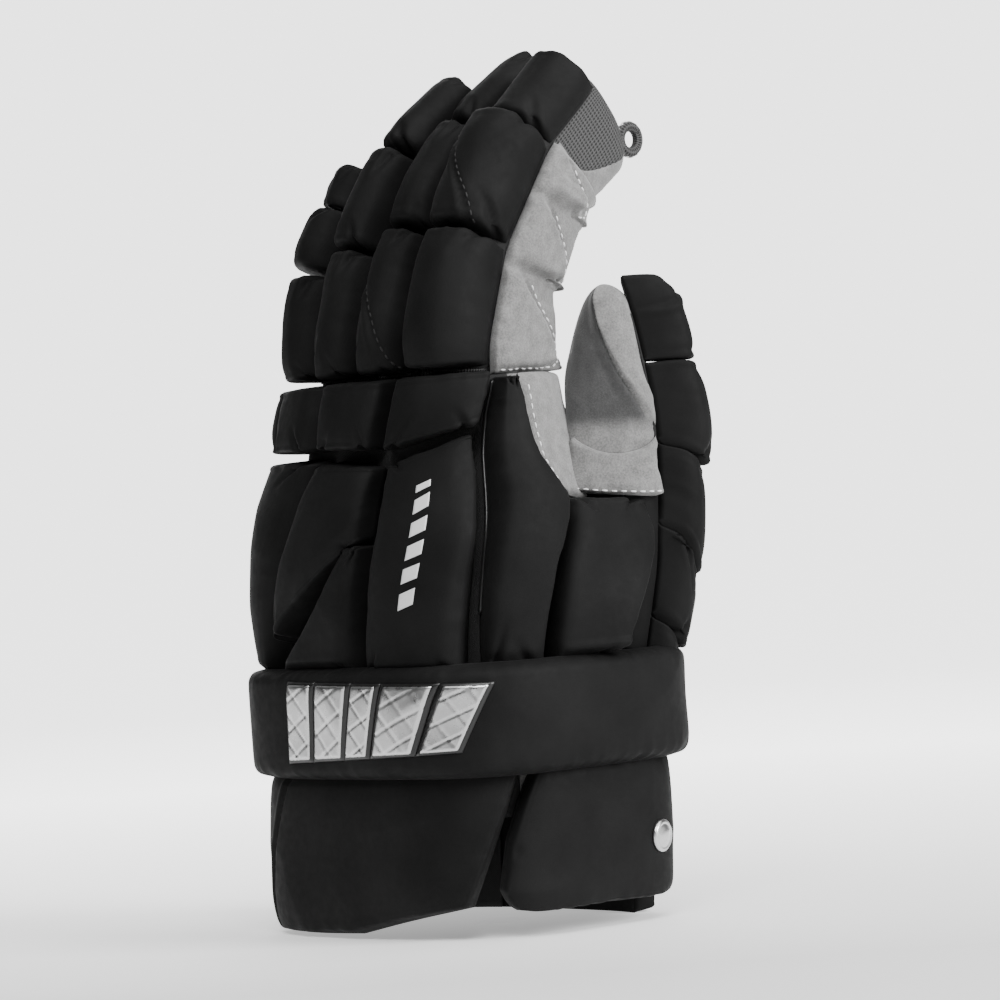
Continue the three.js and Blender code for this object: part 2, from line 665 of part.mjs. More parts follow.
fingers.forEach((finger) => {
  const { name } = finger.spec;
  addPart(`${name}_mesh`, "mesh", fingerMesh(finger));
  addPart(`${name}_palm_strip`, "suede", fingerSuede(finger));
  const { reach, tip, sideLift } = FINGER_PAD_SHAPE[name];
  const [first, second] = finger.lengths;
  const cuts = [0, first, first + second, finger.length + reach];
  [1, 1, tip].forEach((share, i) => {
    const pad = chainPad(finger, cuts[i] + PAD_GROOVE / 2, cuts[i + 1] - PAD_GROOVE / 2, {
      start: PAD_START, end: PAD_END, edge: FINGER_PAD_EDGE, top: share * FINGER_PAD, sideLift,
    });
    addPart(`${name}_pad_${i + 1}`, "shell", pad);
  });
});

INDEX_PUFFS.forEach(({ from, to }, i) => {
  const [index] = fingers;
  const pad = chainPad(index, from * index.length, to * index.length, {
    start: sideAngle(-1) + 8, end: sideAngle(4), edge: 2.5, top: SIDE_PUFF, sideLift: [1, 1],
  });
  addPart(`index_side_pad_${i + 1}`, "suede", pad);
});

// Hand: suede palm with the thumb's hole, and cloth back. Panels on it are cut back to its clear skin.
const seamInset = (CLEARANCE / HAND_HALF_DEPTH) * (180 / Math.PI);
const palmTube = [SEAM_ON_THUMB_SIDE, SEAM_ON_LITTLE_SIDE, 18];
const backTube = [SEAM_ON_LITTLE_SIDE + seamInset, SEAM_ON_THUMB_SIDE + 360 - seamInset, 13];
const handClear = [palmTube, backTube].map((tube) => handTube(...tube, -2 * WALL, CLEARANCE));
const offHand = (solid) => handClear.reduce((left, skin) => left.subtract(skin), solid);
addPart("palm", "suede", handTube(...palmTube, -WALL, 0).subtract(thumbInner));
addPart("hand_back", "cloth", handTube(...backTube, -WALL, 0));

// Web: the plate between the fingers, with a hole for each.
function flatPlate(points, from, to) {
  const shape = new THREE.Shape(points.map((point) => new THREE.Vector2(point.x, point.y)));
  const plate = new THREE.ExtrudeGeometry(shape, { depth: to - from, bevelEnabled: false });
  plate.translate(0, 0, from);
  return solidOf(plate);
}

function fingerWeb() {
  const outline = [];
  for (let j = 0; j < TUBE_SIDES; j += 1)
    outline.push(handSurface(HAND_LENGTH, (j * 360) / TUBE_SIDES, 0));
  const from = HAND_LENGTH + CLEARANCE;
  return fingers.reduce((plate, finger) => {
    const hole = [];
    for (let j = 0; j < CHAIN_SIDES; j += 1) hole.push(finger.surface(0, sideAngle(j), -WALL));
    return plate.subtract(flatPlate(hole, from - WALL, from + 2 * WEB_THICKNESS));
  }, flatPlate(outline, from, from + WEB_THICKNESS));
}
addPart("finger_web", "cloth", fingerWeb());

// Back panels, side panels and knuckle pads
BACK_PANELS.forEach(({ name, rungs, rise }) => {
  const panel = handPanel({
    rungs, rows: 6, columns: 6, lower: UNDER_PANEL, edge: BACK_PAD_EDGE, top: BACK_PAD, rise,
  });
  const clear = offHand(panel.subtract(bandClear));
  addPart(name, "shell", rise ? clear.subtract(thumbClear) : clear);
});
KNUCKLE_PADS.forEach(({ name, rungs }) => {
  const pad = handPanel({
    rungs, rows: 4, columns: 5, lower: UNDER_PANEL, edge: BACK_PAD_EDGE, top: BACK_PAD,
  });
  addPart(name, "shell", pad);
});

// Thumb: suede on the grip side, cloth under the pads.
const thumbShell = thumbOuter.subtract(thumbInner).subtract(handCore(UNDER_PANEL));

function behindThumb(shift) {
  const reach = 400;
  const box = new THREE.BoxGeometry(reach, reach, reach);
  box.translate(0, -reach / 2 - THUMB_SEAM + shift, 0);
  box.rotateX(radians(THUMB_SEAM_TILT));
  box.rotateZ(radians(THUMB.facing));
  box.translate(thumb.spec.base.x, thumb.spec.base.y, thumb.spec.base.z);
  return solidOf(box);
}
addPart("thumb_suede", "suede", thumbShell.subtract(behindThumb(CLEARANCE)));
addPart("thumb_back", "cloth", thumbShell.intersect(behindThumb(0)));

THUMB_CUTS.slice(1).forEach((cut, i) => {
  const below = THUMB_CUTS[i];
  const from = below.at * thumb.length + PAD_GROOVE / 2;
  const to = cut.at * thumb.length - PAD_GROOVE / 2;
  const pad = chainPad(thumb, from, to, {
    start: sideAngle(-5), end: sideAngle(-2), edge: below.edge * THUMB_PAD, top: below.top * THUMB_PAD,
    sideLift: [0.3, 0.3], bow: [below.bow, cut.bow],
  });
  addPart(`thumb_pad_${i + 1}`, "shell", pad.subtract(bandClear).subtract(handCore(2 * CLEARANCE)));
});

// Suede hem round the root of the thumb
addPart("thumb_hem", "suede", chainPad(thumb, HEM.from * thumb.length, HEM.to * thumb.length, {
  ...HEM, sideLift: [1, 1],
}).subtract(handCore(UNDER_PAD)));

HAND_SUEDE.forEach(({ name, rungs, edge, top }) => {
  const piece = handPanel({ rungs, rows: 5, columns: 5, lower: UNDER_PAD, edge, top });
  addPart(name, "suede", piece.subtract(chainCore(thumb, 0, THUMB_TIP_RADIUS, HEM.top + CLEARANCE)));
});

// Wrist band, badge and cuff
addPart("wrist_band", "shell", band);

// Badge: a slanted plate that follows the band's crown.
function badgePlate() {
  const place = (a, b) => {
    const [lowA, angleA, lowB, angleB] = PLATE_RUNGS[0].map((value, k) => mix(value, PLATE_RUNGS[1][k], a));
    return [CUFF_HEIGHT + mix(lowA, lowB, b) * BAND_HEIGHT, mix(angleA, angleB, b)];
  };
  const onBand = (lift) => (a, b) => {
    const [height, angle] = place(a, b);
    return handSurface(height, angle, bandLift(height, angle) + lift);
  };
  return slab(4, 8, onBand(UNDER_PAD), onBand(UNDER_PAD + PLATE_THICKNESS));
}
addPart("badge_plate", "metal", badgePlate());

function onCuff(rungs) {
  return rungs.map(([lowA, angleA, lowB, angleB]) => [
    (lowA * CUFF_HEIGHT) / HAND_LENGTH, angleA, (lowB * CUFF_HEIGHT) / HAND_LENGTH, angleB,
  ]);
}

CUFF_PANELS.forEach(({ name, rungs, rows, columns, corner }) => {
  const panel = handPanel({
    rungs: onCuff(rungs), rows, columns, corner, lower: UNDER_CUFF, edge: CUFF_PAD_EDGE, top: CUFF_PAD,
  });
  addPart(name, "shell", offHand(panel.subtract(bandClear)));
});

// Wrist panel: closes the palm side between the band's ends.
const wristHeights = [CUFF_HEIGHT + CUFF_TUCK + PAD_GROOVE, BAND_TOP - PANEL_TUCK - PAD_GROOVE];
const wristRungs = wristHeights.map((height) => [
  height / HAND_LENGTH, BAND_END + WRIST_GAP, height / HAND_LENGTH, BAND_START + 360 - WRIST_GAP,
]);
addPart("wrist_palm", "cloth", handPanel({
  rungs: wristRungs, rows: 3, columns: 12, lower: UNDER_PANEL, edge: WRIST_PAD / 2, top: WRIST_PAD,
}));

// Snap: a low round cap seated on the thumb side's cuff panel.
const SNAP_SIDES = 16;

function snap() {
  const { rungs } = CUFF_PANELS[1];
  const pointAt = (a, b) => {
    const place = onRungs(onCuff(rungs), ...softCorner(a, b));
    return handSurface(...place, mix(CUFF_PAD_EDGE, CUFF_PAD, crown(a, b)));
  };
  const { a, b } = SNAP_PLACE;
  const step = 0.02;
  const seat = pointAt(a, b);
  const upwards = pointAt(a + step, b).sub(pointAt(a - step, b));
  const sideways = pointAt(a, b + step).sub(pointAt(a, b - step));
  const normal = sideways.cross(upwards).normalize();
  const profile = SNAP_PROFILE.map(
    ({ radius, height }) => new THREE.Vector2(radius * SNAP_RADIUS, height * SNAP_HEIGHT),
  );
  const cap = new THREE.LatheGeometry(profile, SNAP_SIDES);
  cap.applyQuaternion(new THREE.Quaternion().setFromUnitVectors(new THREE.Vector3(0, 1, 0), normal));
  const rise = seat.addScaledVector(normal, 2 * CLEARANCE);
  cap.translate(rise.x, rise.y, rise.z);
  return solidOf(cap);
}
addPart("cuff_snap", "metal", snap());

// Pull loop at the tip of the index finger

function pullLoop() {
  const [index] = fingers;
  const centre = index.surface(index.length + LOOP_AHEAD, 90, -LOOP_DROP);
  const side = index.surface(0, 0, 0).sub(index.surface(0, 180, 0)).normalize();
  const ring = new THREE.TorusGeometry(LOOP_RADIUS, LOOP_CORD, 6, 12);
  ring.applyQuaternion(new THREE.Quaternion().setFromUnitVectors(new THREE.Vector3(0, 0, 1), side));
  ring.translate(centre.x, centre.y, centre.z);
  return solidOf(ring);
}
addPart("index_pull_loop", "mesh", pullLoop());

// The frame: the middle of the rim's footprint, on the surface the glove stands on
const bounds = new THREE.Box3().setFromObject(group);
const middle = bounds.getCenter(new THREE.Vector3());
group.position.set(-middle.x, -middle.y, -bounds.min.z);
group.updateMatrixWorld(true);

export default group;
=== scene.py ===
"""Looks of the left-hand lacrosse glove: cushioned pads, suede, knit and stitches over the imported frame.

Sizes are millimetres and degrees, as in the part's own source, and turn into metres where a mesh is made.
"""

import math

import bpy
import numpy as np
from mathutils import Matrix, Vector, noise


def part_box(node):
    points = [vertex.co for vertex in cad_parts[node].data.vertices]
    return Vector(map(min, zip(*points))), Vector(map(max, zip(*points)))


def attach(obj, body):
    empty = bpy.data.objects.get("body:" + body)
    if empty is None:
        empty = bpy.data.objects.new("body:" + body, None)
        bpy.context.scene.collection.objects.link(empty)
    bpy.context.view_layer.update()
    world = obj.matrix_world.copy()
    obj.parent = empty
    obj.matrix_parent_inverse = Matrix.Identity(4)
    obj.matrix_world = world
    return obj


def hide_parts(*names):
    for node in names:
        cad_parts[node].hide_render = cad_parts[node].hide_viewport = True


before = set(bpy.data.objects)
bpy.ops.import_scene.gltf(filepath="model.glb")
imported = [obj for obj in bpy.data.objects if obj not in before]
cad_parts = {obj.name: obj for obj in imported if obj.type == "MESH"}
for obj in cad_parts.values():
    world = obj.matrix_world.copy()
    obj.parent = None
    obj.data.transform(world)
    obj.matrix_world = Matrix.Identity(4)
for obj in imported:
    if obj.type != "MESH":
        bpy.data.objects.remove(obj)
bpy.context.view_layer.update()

MM = 0.001

# Sizes shared with the part's source

WALL = 1.8
PAD_GROOVE = 1.4
HAND_LENGTH = 207
HAND_HALF_WIDTH = 63
HAND_HALF_DEPTH = 48
KNUCKLE_ARCH_RADIUS = 160
LINING_DEPTH = 16
BACK_PAD = 14
BACK_PAD_EDGE = 8
SEAM_ON_THUMB_SIDE = -31
SEAM_ON_LITTLE_SIDE = 188
CUFF_HEIGHT = 60
CUFF_PAD = 12.5
CUFF_PAD_EDGE = 7
CUFF_TUCK = 6
PANEL_TUCK = 6
BAND_HEIGHT = 42
BAND_LIFT = 11
BAND_EDGE = 15
BAND_CROWN = 19
BAND_START = -150
BAND_END = 62
WRIST_PAD = 5
WRIST_GAP = 3
PLATE_THICKNESS = 1.5
SNAP_RADIUS = 6.2
SNAP_HEIGHT = 2.6
FINGER_LENGTH = 122
FINGER_PAD = 15
FINGER_PAD_EDGE = 6
FINGER_TIP_RADIUS = 10
JOINT_BEND = 14
WEB_THICKNESS = 1.5
THUMB_LENGTH = 150
THUMB_HALF_WIDTH = 15
THUMB_HALF_DEPTH = 19
THUMB_PAD = 20
THUMB_TIP_RADIUS = 8
LOOP_RADIUS = 5
LOOP_CORD = 2
LOOP_AHEAD = 3.4
LOOP_DROP = 4
CLEARANCE = 0.35
UNDER_PAD = 0.8
UNDER_PANEL = 1
UNDER_CUFF = 1.1
CORNER_PULL = 0.03

HAND_SECTIONS = {
    "height": [0, 0.29, 0.507, 0.7, 0.87, 1],
    "across": [0.01, 0.04, 0.048, 0.048, 0, 0],
    "inward": [0.02, 0.05, 0.06, 0.06, 0, 0],
    "width": [1, 1, 1, 1, 0.89, 0.84],
    "depth": [0.96, 0.96, 1, 1, 0.77, 0.65],
    "squareness": [3.6, 3.6, 3.4, 3.2, 3, 3],
}
ARCH_FROM = 0.435
ARCH_OVER = 0.53

FINGER_TAPER = {"width": 0.84, "depth": 0.78, "power": 1.6}
FINGERS = {
    "index": {"across": 0.567, "inward": -0.1, "width": 0.2, "depth": 0.44, "facing": 4, "lean": 2.5,
              "stretches": [0.345, 0.345, 0.34], "curl": [18, 35, 51],
              "taper": {"width": 0.94, "depth": 1.22, "power": 1.6},
              "reach": -3, "side_lift": [0.25, 0.6]},
    "middle": {"across": 0.154, "inward": -0.125, "width": 0.192, "depth": 0.44, "facing": 2, "lean": 1,
               "stretches": [0.365, 0.345, 0.34], "curl": [20, 36, 54], "taper": FINGER_TAPER,
               "reach": 1, "side_lift": [0.25, 0.25]},
    "ring": {"across": -0.245, "inward": -0.1, "width": 0.182, "depth": 0.42, "facing": -6, "lean": -1,
             "stretches": [0.336, 0.3, 0.29], "curl": [15, 28, 50], "taper": FINGER_TAPER,
             "reach": 1, "side_lift": [0.25, 0.25]},
    "little": {"across": -0.63, "inward": 0.02, "width": 0.17, "depth": 0.38, "facing": -20, "lean": -3,
               "stretches": [0.3, 0.185, 0.155], "curl": [6, 25, 24], "taper": FINGER_TAPER,
               "reach": 1, "side_lift": [0.6, 0.25]},
}
THUMB = {"across": 0.79, "inward": 0.54, "height": 0.435, "facing": 140, "stretches": [0.3, 0.33, 0.37],
         "curl": [-12, -6, 0], "taper": {"width": 0.6, "depth": 0.36, "power": 3.5}}

BAND_TOP = CUFF_HEIGHT + BAND_HEIGHT
PANEL_FOOT = (BAND_TOP - PANEL_TUCK) / HAND_LENGTH
BACK_PANELS = {
    "back_outer": [[PANEL_FOOT, -152, PANEL_FOOT, -133], [0.61, -152, 0.61, -120.5],
                   [0.72, -152, 0.72, -112.5], [0.872, -150, 0.872, -102.5]],
    "back_middle": [[0.522, -127, 0.725, -80.5], [0.72, -110.5, 0.785, -79.5], [0.868, -101, 0.848, -77]],
    "back_wedge": [[PANEL_FOOT, -127, PANEL_FOOT, -84.5], [0.604, -99.3, 0.604, -82.5],
                   [0.708, -85.5, 0.71, -80.5]],
    "back_plate": [[PANEL_FOOT, -83, PANEL_FOOT, -46.5], [0.643, -78.5, 0.643, -47.5],
                   [0.782, -75.5, 0.82, -48], [0.845, -75, 0.9, -48.5]],
    "side_front": [[PANEL_FOOT, -42.5, PANEL_FOOT, -19.5], [0.67, -45, 0.66, -20.6],
                   [0.773, -45.3, 0.778, -14.8], [0.854, -45, 0.854, -27.5],
                   [0.932, -43.5, 0.932, -31.5], [0.995, -40, 0.995, -33.5]],
    "side_rear": [[PANEL_FOOT, -17.8, PANEL_FOOT, 6], [0.565, -18.2, 0.565, 12],
                  [0.67, -18.6, 0.67, 19], [0.775, -12.5, 0.76, 21]],
    "side_outer": [[PANEL_FOOT, -196, PANEL_FOOT, -154], [0.88, -196, 0.88, -152]],
}
SIDE_REAR_RISE = 12
INDEX_WEB = [[0.784, -11.5, 0.76, 14], [0.854, -25.5, 0.83, 26], [0.932, -29.5, 0.93, 34],
             [0.995, -31.5, 0.995, 36]]
KNUCKLE_PADS = {
    "knuckle_little": [[0.884, -166, 0.884, -125], [1.008, -166, 1.008, -127.5]],
    "knuckle_ring": [[0.884, -123.5, 0.884, -103], [1.008, -126, 1.008, -103]],
    "knuckle_middle": [[0.884, -101.5, 0.878, -78.5], [1.008, -101.5, 1.008, -74.5]],
    "knuckle_index": [[0.872, -76.5, 0.914, -47], [1.008, -73, 1.008, -42.5]],
}
THUMB_CUTS = [
    {"at": 0.03, "bow": 0, "edge": 0.35, "top": 0.55},
    {"at": 0.19, "bow": -12, "edge": 0.4, "top": 0.72},
    {"at": 0.41, "bow": -18, "edge": 0.45, "top": 0.82},
    {"at": 0.61, "bow": -9, "edge": 0.5, "top": 1},
    {"at": 0.797, "bow": 0, "edge": 0.5, "top": 1},
    {"at": 1.02, "bow": 0},
]
HEM = {"from": 0.47, "to": 0.62, "start": 123.75, "end": 236.25, "top": 4}
HEM_THIN = 1.2
CUFF_TOP = 1 + CUFF_TUCK / CUFF_HEIGHT
CUFF_PANELS = {
    "cuff_back": {"corner": 0, "rungs": [[0, -165, CUFF_TOP, -165], [0, -131, CUFF_TOP, -121],
                                         [0.02, -97, CUFF_TOP, -75], [0.2, -48.5, CUFF_TOP, -30.5]]},
    "cuff_thumb_side": {"corner": 0.07, "rungs": [[0.15, -37, 0.14, 52], [0.3, -40.3, 0.3, 52],
                                                  [0.6, -38, 0.6, 52], [CUFF_TOP, -28, CUFF_TOP, 52]]},
    "cuff_palm": {"corner": 0, "rungs": [[0, 54, 0, 124], [CUFF_TOP, 54, CUFF_TOP, 124]]},
    "cuff_little_side": {"corner": 0, "rungs": [[0, 126, 0, 193], [CUFF_TOP, 126, CUFF_TOP, 193]]},
}
SNAP_PLACE = (0.58, 0.735)
PLATE_RUNGS = [[0.16, -106, 0.24, -45], [0.9, -109, 0.84, -40]]


# Surfaces: arrays of places in, arrays of points out


def ease(t):
    c = np.clip(t, 0, 1)
    return c * c * (3 - 2 * c)


def mix(low, high, t):
    return low + (high - low) * t


def grid_of(first, second):
    """Every value of the first with every value of the second, as two grids."""
    return np.meshgrid(first, second, indexing="ij")


def full_turn(count):
    """The angles of count equal steps round a circle, in radians."""
    return np.arange(count) * 2 * math.pi / count


def along_path(path, count):
    """Even shares of the way along a path of (a, b) corners, with a and b there."""
    corners = np.array(path, float)
    t = np.linspace(0, 1, count)
    steps = np.linspace(0, 1, len(corners))
    return t, np.interp(t, steps, corners[:, 0]), np.interp(t, steps, corners[:, 1])


def point_at(at, line, points):
    """Points part-way along a row of points, whose places are given by line."""
    return np.stack([np.interp(at, line, points[:, k]) for k in range(3)], axis=-1)


def new_object(name, data):
    obj = bpy.data.objects.new(name, data)
    bpy.context.scene.collection.objects.link(obj)
    return obj


def section_value(column, share):
    """Smooth curve through one column of the hand's sections."""
    x = np.array(HAND_SECTIONS["height"], float)
    y = np.array(HAND_SECTIONS[column], float)
    before = np.maximum(np.arange(len(x)) - 1, 0)
    after = np.minimum(np.arange(len(x)) + 1, len(x) - 1)
    slope = (y[after] - y[before]) / (x[after] - x[before])
    i = np.clip(np.searchsorted(x, share, side="right") - 1, 0, len(x) - 2)
    span = x[i + 1] - x[i]
    t = np.clip((share - x[i]) / span, 0, 1)
    t2 = t * t
    t3 = t2 * t
    return ((2 * t3 - 3 * t2 + 1) * y[i] + (t3 - 2 * t2 + t) * span * slope[i]
            + (3 * t2 - 2 * t3) * y[i + 1] + (t3 - t2) * span * slope[i + 1])


def rounded_square(angle, squareness):
    c = np.cos(np.radians(angle))
    s = np.sin(np.radians(angle))
    k = (np.abs(c) ** squareness + np.abs(s) ** squareness) ** (-1 / squareness)
    return k * c, k * s


def arch_at(share):
    """One over the radius of the knuckles' arch. It is never 0, so that the radius stays finite."""
    return np.maximum(ease((share - ARCH_FROM) / ARCH_OVER), 1e-5) / KNUCKLE_ARCH_RADIUS


def hand_surface(height, angle, lift):
    height, angle, lift = np.broadcast_arrays(*(np.asarray(v, float) for v in (height, angle, lift)))
    share = height / HAND_LENGTH
    across, inward = rounded_square(angle, section_value("squareness", share))
    x = (section_value("width", share) * HAND_HALF_WIDTH + lift) * across
    y = (section_value("depth", share) * HAND_HALF_DEPTH + lift) * inward
    middle_x = section_value("across", share) * HAND_HALF_WIDTH
    middle_y = section_value("inward", share) * HAND_HALF_DEPTH
    arch = arch_at(share)
    radius = 1 / arch
    bent_x = middle_x + (radius - y) * np.sin(x * arch)
    bent_y = middle_y + radius - (radius - y) * np.cos(x * arch)
    return np.stack([bent_x, bent_y, height], axis=-1)


CHAIN_STEP = 0.5
FINGER_SQUARENESS = 2.8


class Chain:
    """A finger or thumb: three stretches in one plane, joined by short bends."""

    def __init__(self, spec, base, half_width, half_depth, full_length, level_start):
        face = math.radians(spec["facing"])
        tip = math.radians(spec.get("lean", 0))
        side = np.array([math.cos(face), math.sin(face), 0])
        self.up = np.array([0, 0, math.cos(tip)]) + side * math.sin(tip)
        self.across = side * math.cos(tip) - np.array([0, 0, math.sin(tip)])
        self.palmward = np.array([-math.sin(face), math.cos(face), 0])
        self.spec = spec
        self.half_width = half_width
        self.half_depth = half_depth
        self.level_start = level_start
        self.lengths = [share * full_length for share in spec["stretches"]]
        self.length = sum(self.lengths)
        steps = int(math.ceil(self.length / CHAIN_STEP))
        bend = self.bend((np.arange(steps) + 0.5) * CHAIN_STEP)
        moves = self.direction(bend) * CHAIN_STEP
        self.middle = np.vstack([np.zeros(3), np.cumsum(moves, axis=0)]) + np.array(base, float)

    def bend(self, along):
        curl = self.spec["curl"]
        angle = curl[0] * (ease(along / JOINT_BEND) if self.level_start else np.ones_like(along))
        joint = 0
        for i in (1, 2):
            joint += self.lengths[i - 1]
            angle = angle + (curl[i] - curl[i - 1]) * ease((along - joint + JOINT_BEND / 2) / JOINT_BEND)
        return np.radians(angle)

    def direction(self, bend):
        return np.multiply.outer(np.cos(bend), self.up) + np.multiply.outer(np.sin(bend), self.palmward)

    def surface(self, along, angle, lift, side_lift=1.0, scale=1.0):
        values = np.broadcast_arrays(*(np.asarray(v, float) for v in (along, angle, lift, side_lift, scale)))
        along, angle, lift, side_lift, scale = values
        inside = np.clip(along, 0, self.length)
        bend = self.bend(inside)
        places = np.arange(len(self.middle)) * CHAIN_STEP
        middle = point_at(inside, places, self.middle) + self.direction(bend) * (along - inside)[..., None]
        inward = np.multiply.outer(-np.sin(bend), self.up) + np.multiply.outer(np.cos(bend), self.palmward)
        taper = self.spec["taper"]
        share = np.clip(along / self.length, 0, 1) ** taper["power"]
        width = self.half_width * mix(1, taper["width"], share)
        depth = self.half_depth * mix(1, taper["depth"], share)
        corner_x, corner_y = rounded_square(angle, FINGER_SQUARENESS)
        return (middle + ((width + lift * side_lift) * scale * corner_x)[..., None] * self.across
                + ((depth + lift) * scale * corner_y)[..., None] * inward)


WEB_TOP = HAND_LENGTH + CLEARANCE + WEB_THICKNESS


def finger_chain(spec):
    half_width = spec["width"] * HAND_HALF_WIDTH
    rise = CLEARANCE + half_width * abs(math.sin(math.radians(spec["lean"])))
    base = [spec["across"] * HAND_HALF_WIDTH, spec["inward"] * HAND_HALF_DEPTH, WEB_TOP + rise]
    return Chain(spec, base, half_width, spec["depth"] * HAND_HALF_DEPTH, FINGER_LENGTH, True)


fingers = {name: finger_chain(spec) for name, spec in FINGERS.items()}
thumb = Chain(
    THUMB,
    [THUMB["across"] * HAND_HALF_WIDTH, THUMB["inward"] * HAND_HALF_DEPTH, THUMB["height"] * HAND_LENGTH],
    THUMB_HALF_WIDTH, THUMB_HALF_DEPTH, THUMB_LENGTH, False,
)

# The part's frame is shifted from these coordinates. The finger web's box says by how much.
WEB_SIDES = 32
web_outline = hand_surface(HAND_LENGTH, np.arange(WEB_SIDES) * 360 / WEB_SIDES, 0)
web_low = np.array(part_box("finger_web")[0]) / MM
SHIFT = np.array([web_low[0] - web_outline[:, 0].min(), web_low[1] - web_outline[:, 1].min(), 0])


# Pads: closed cushions drawn on a grid


CROWN_END_FALL = 0.75  # how much of a pad's crown is lost at its ends
CROWN_FULLNESS = 0.6


def crown(a, b, power_a=6.0, power_b=3.0):
    """1 over the middle of a pad, 0 on its sides. The higher a power, the flatter the pad that way."""
    fall_a = 1 - CROWN_END_FALL * np.abs(2 * a - 1) ** power_a
    fall_b = 1 - np.abs(2 * b - 1) ** power_b
    return np.maximum(fall_a * fall_b, 0) ** CROWN_FULLNESS


def soft_corner(a, b, pull):
    u = 2 * a - 1
    v = 2 * b - 1
    return 0.5 + 0.5 * u * (1 - pull * v**6), 0.5 + 0.5 * v * (1 - pull * u**6)


def on_rungs(rungs, a, b):
    table = np.array(rungs, float)
    at = np.minimum(a * (len(table) - 1), len(table) - 1 - 1e-9)
    i = np.floor(at).astype(int)
    t = (at - i)[..., None]
    low_a, angle_a, low_b, angle_b = np.moveaxis(mix(table[i], table[i + 1], t), -1, 0)
    return mix(low_a, low_b, b) * HAND_LENGTH, mix(angle_a, angle_b, b)


EDGE_PACKING = 0.55  # how far grid lines crowd towards a pad's edges


def grid_lines(count):
    t = np.linspace(0, 1, count + 1)
    return mix(t, 0.5 - 0.5 * np.cos(np.pi * t), EDGE_PACKING)


def between(values, axis):
    """Values half way between neighbours along one axis, on a cubic curve."""
    values = np.moveaxis(values, axis, 0)
    padded = np.concatenate([2 * values[:1] - values[1:2], values, 2 * values[-1:] - values[-2:-1]])
    middle = (9 * (padded[1:-2] + padded[2:-1]) - padded[:-3] - padded[3:]) / 16
    fine = np.empty((2 * len(values) - 1,) + values.shape[1:])
    fine[0::2] = values
    fine[1::2] = middle
    return np.moveaxis(fine, 0, axis)


def unit(vectors):
    return vectors / np.maximum(np.linalg.norm(vectors, axis=-1, keepdims=True), 1e-9)


GROOVE_STEPS = 50
LIP_OFFSET = 1.6  # from the bottom of a channel to the top of its lip
LIP_WIDTH = 1.4
MOST_CELLS = 80
FEWEST_CELLS = 10
SEWN_EDGE = 1.6  # the cover moves freely this far in from its seam


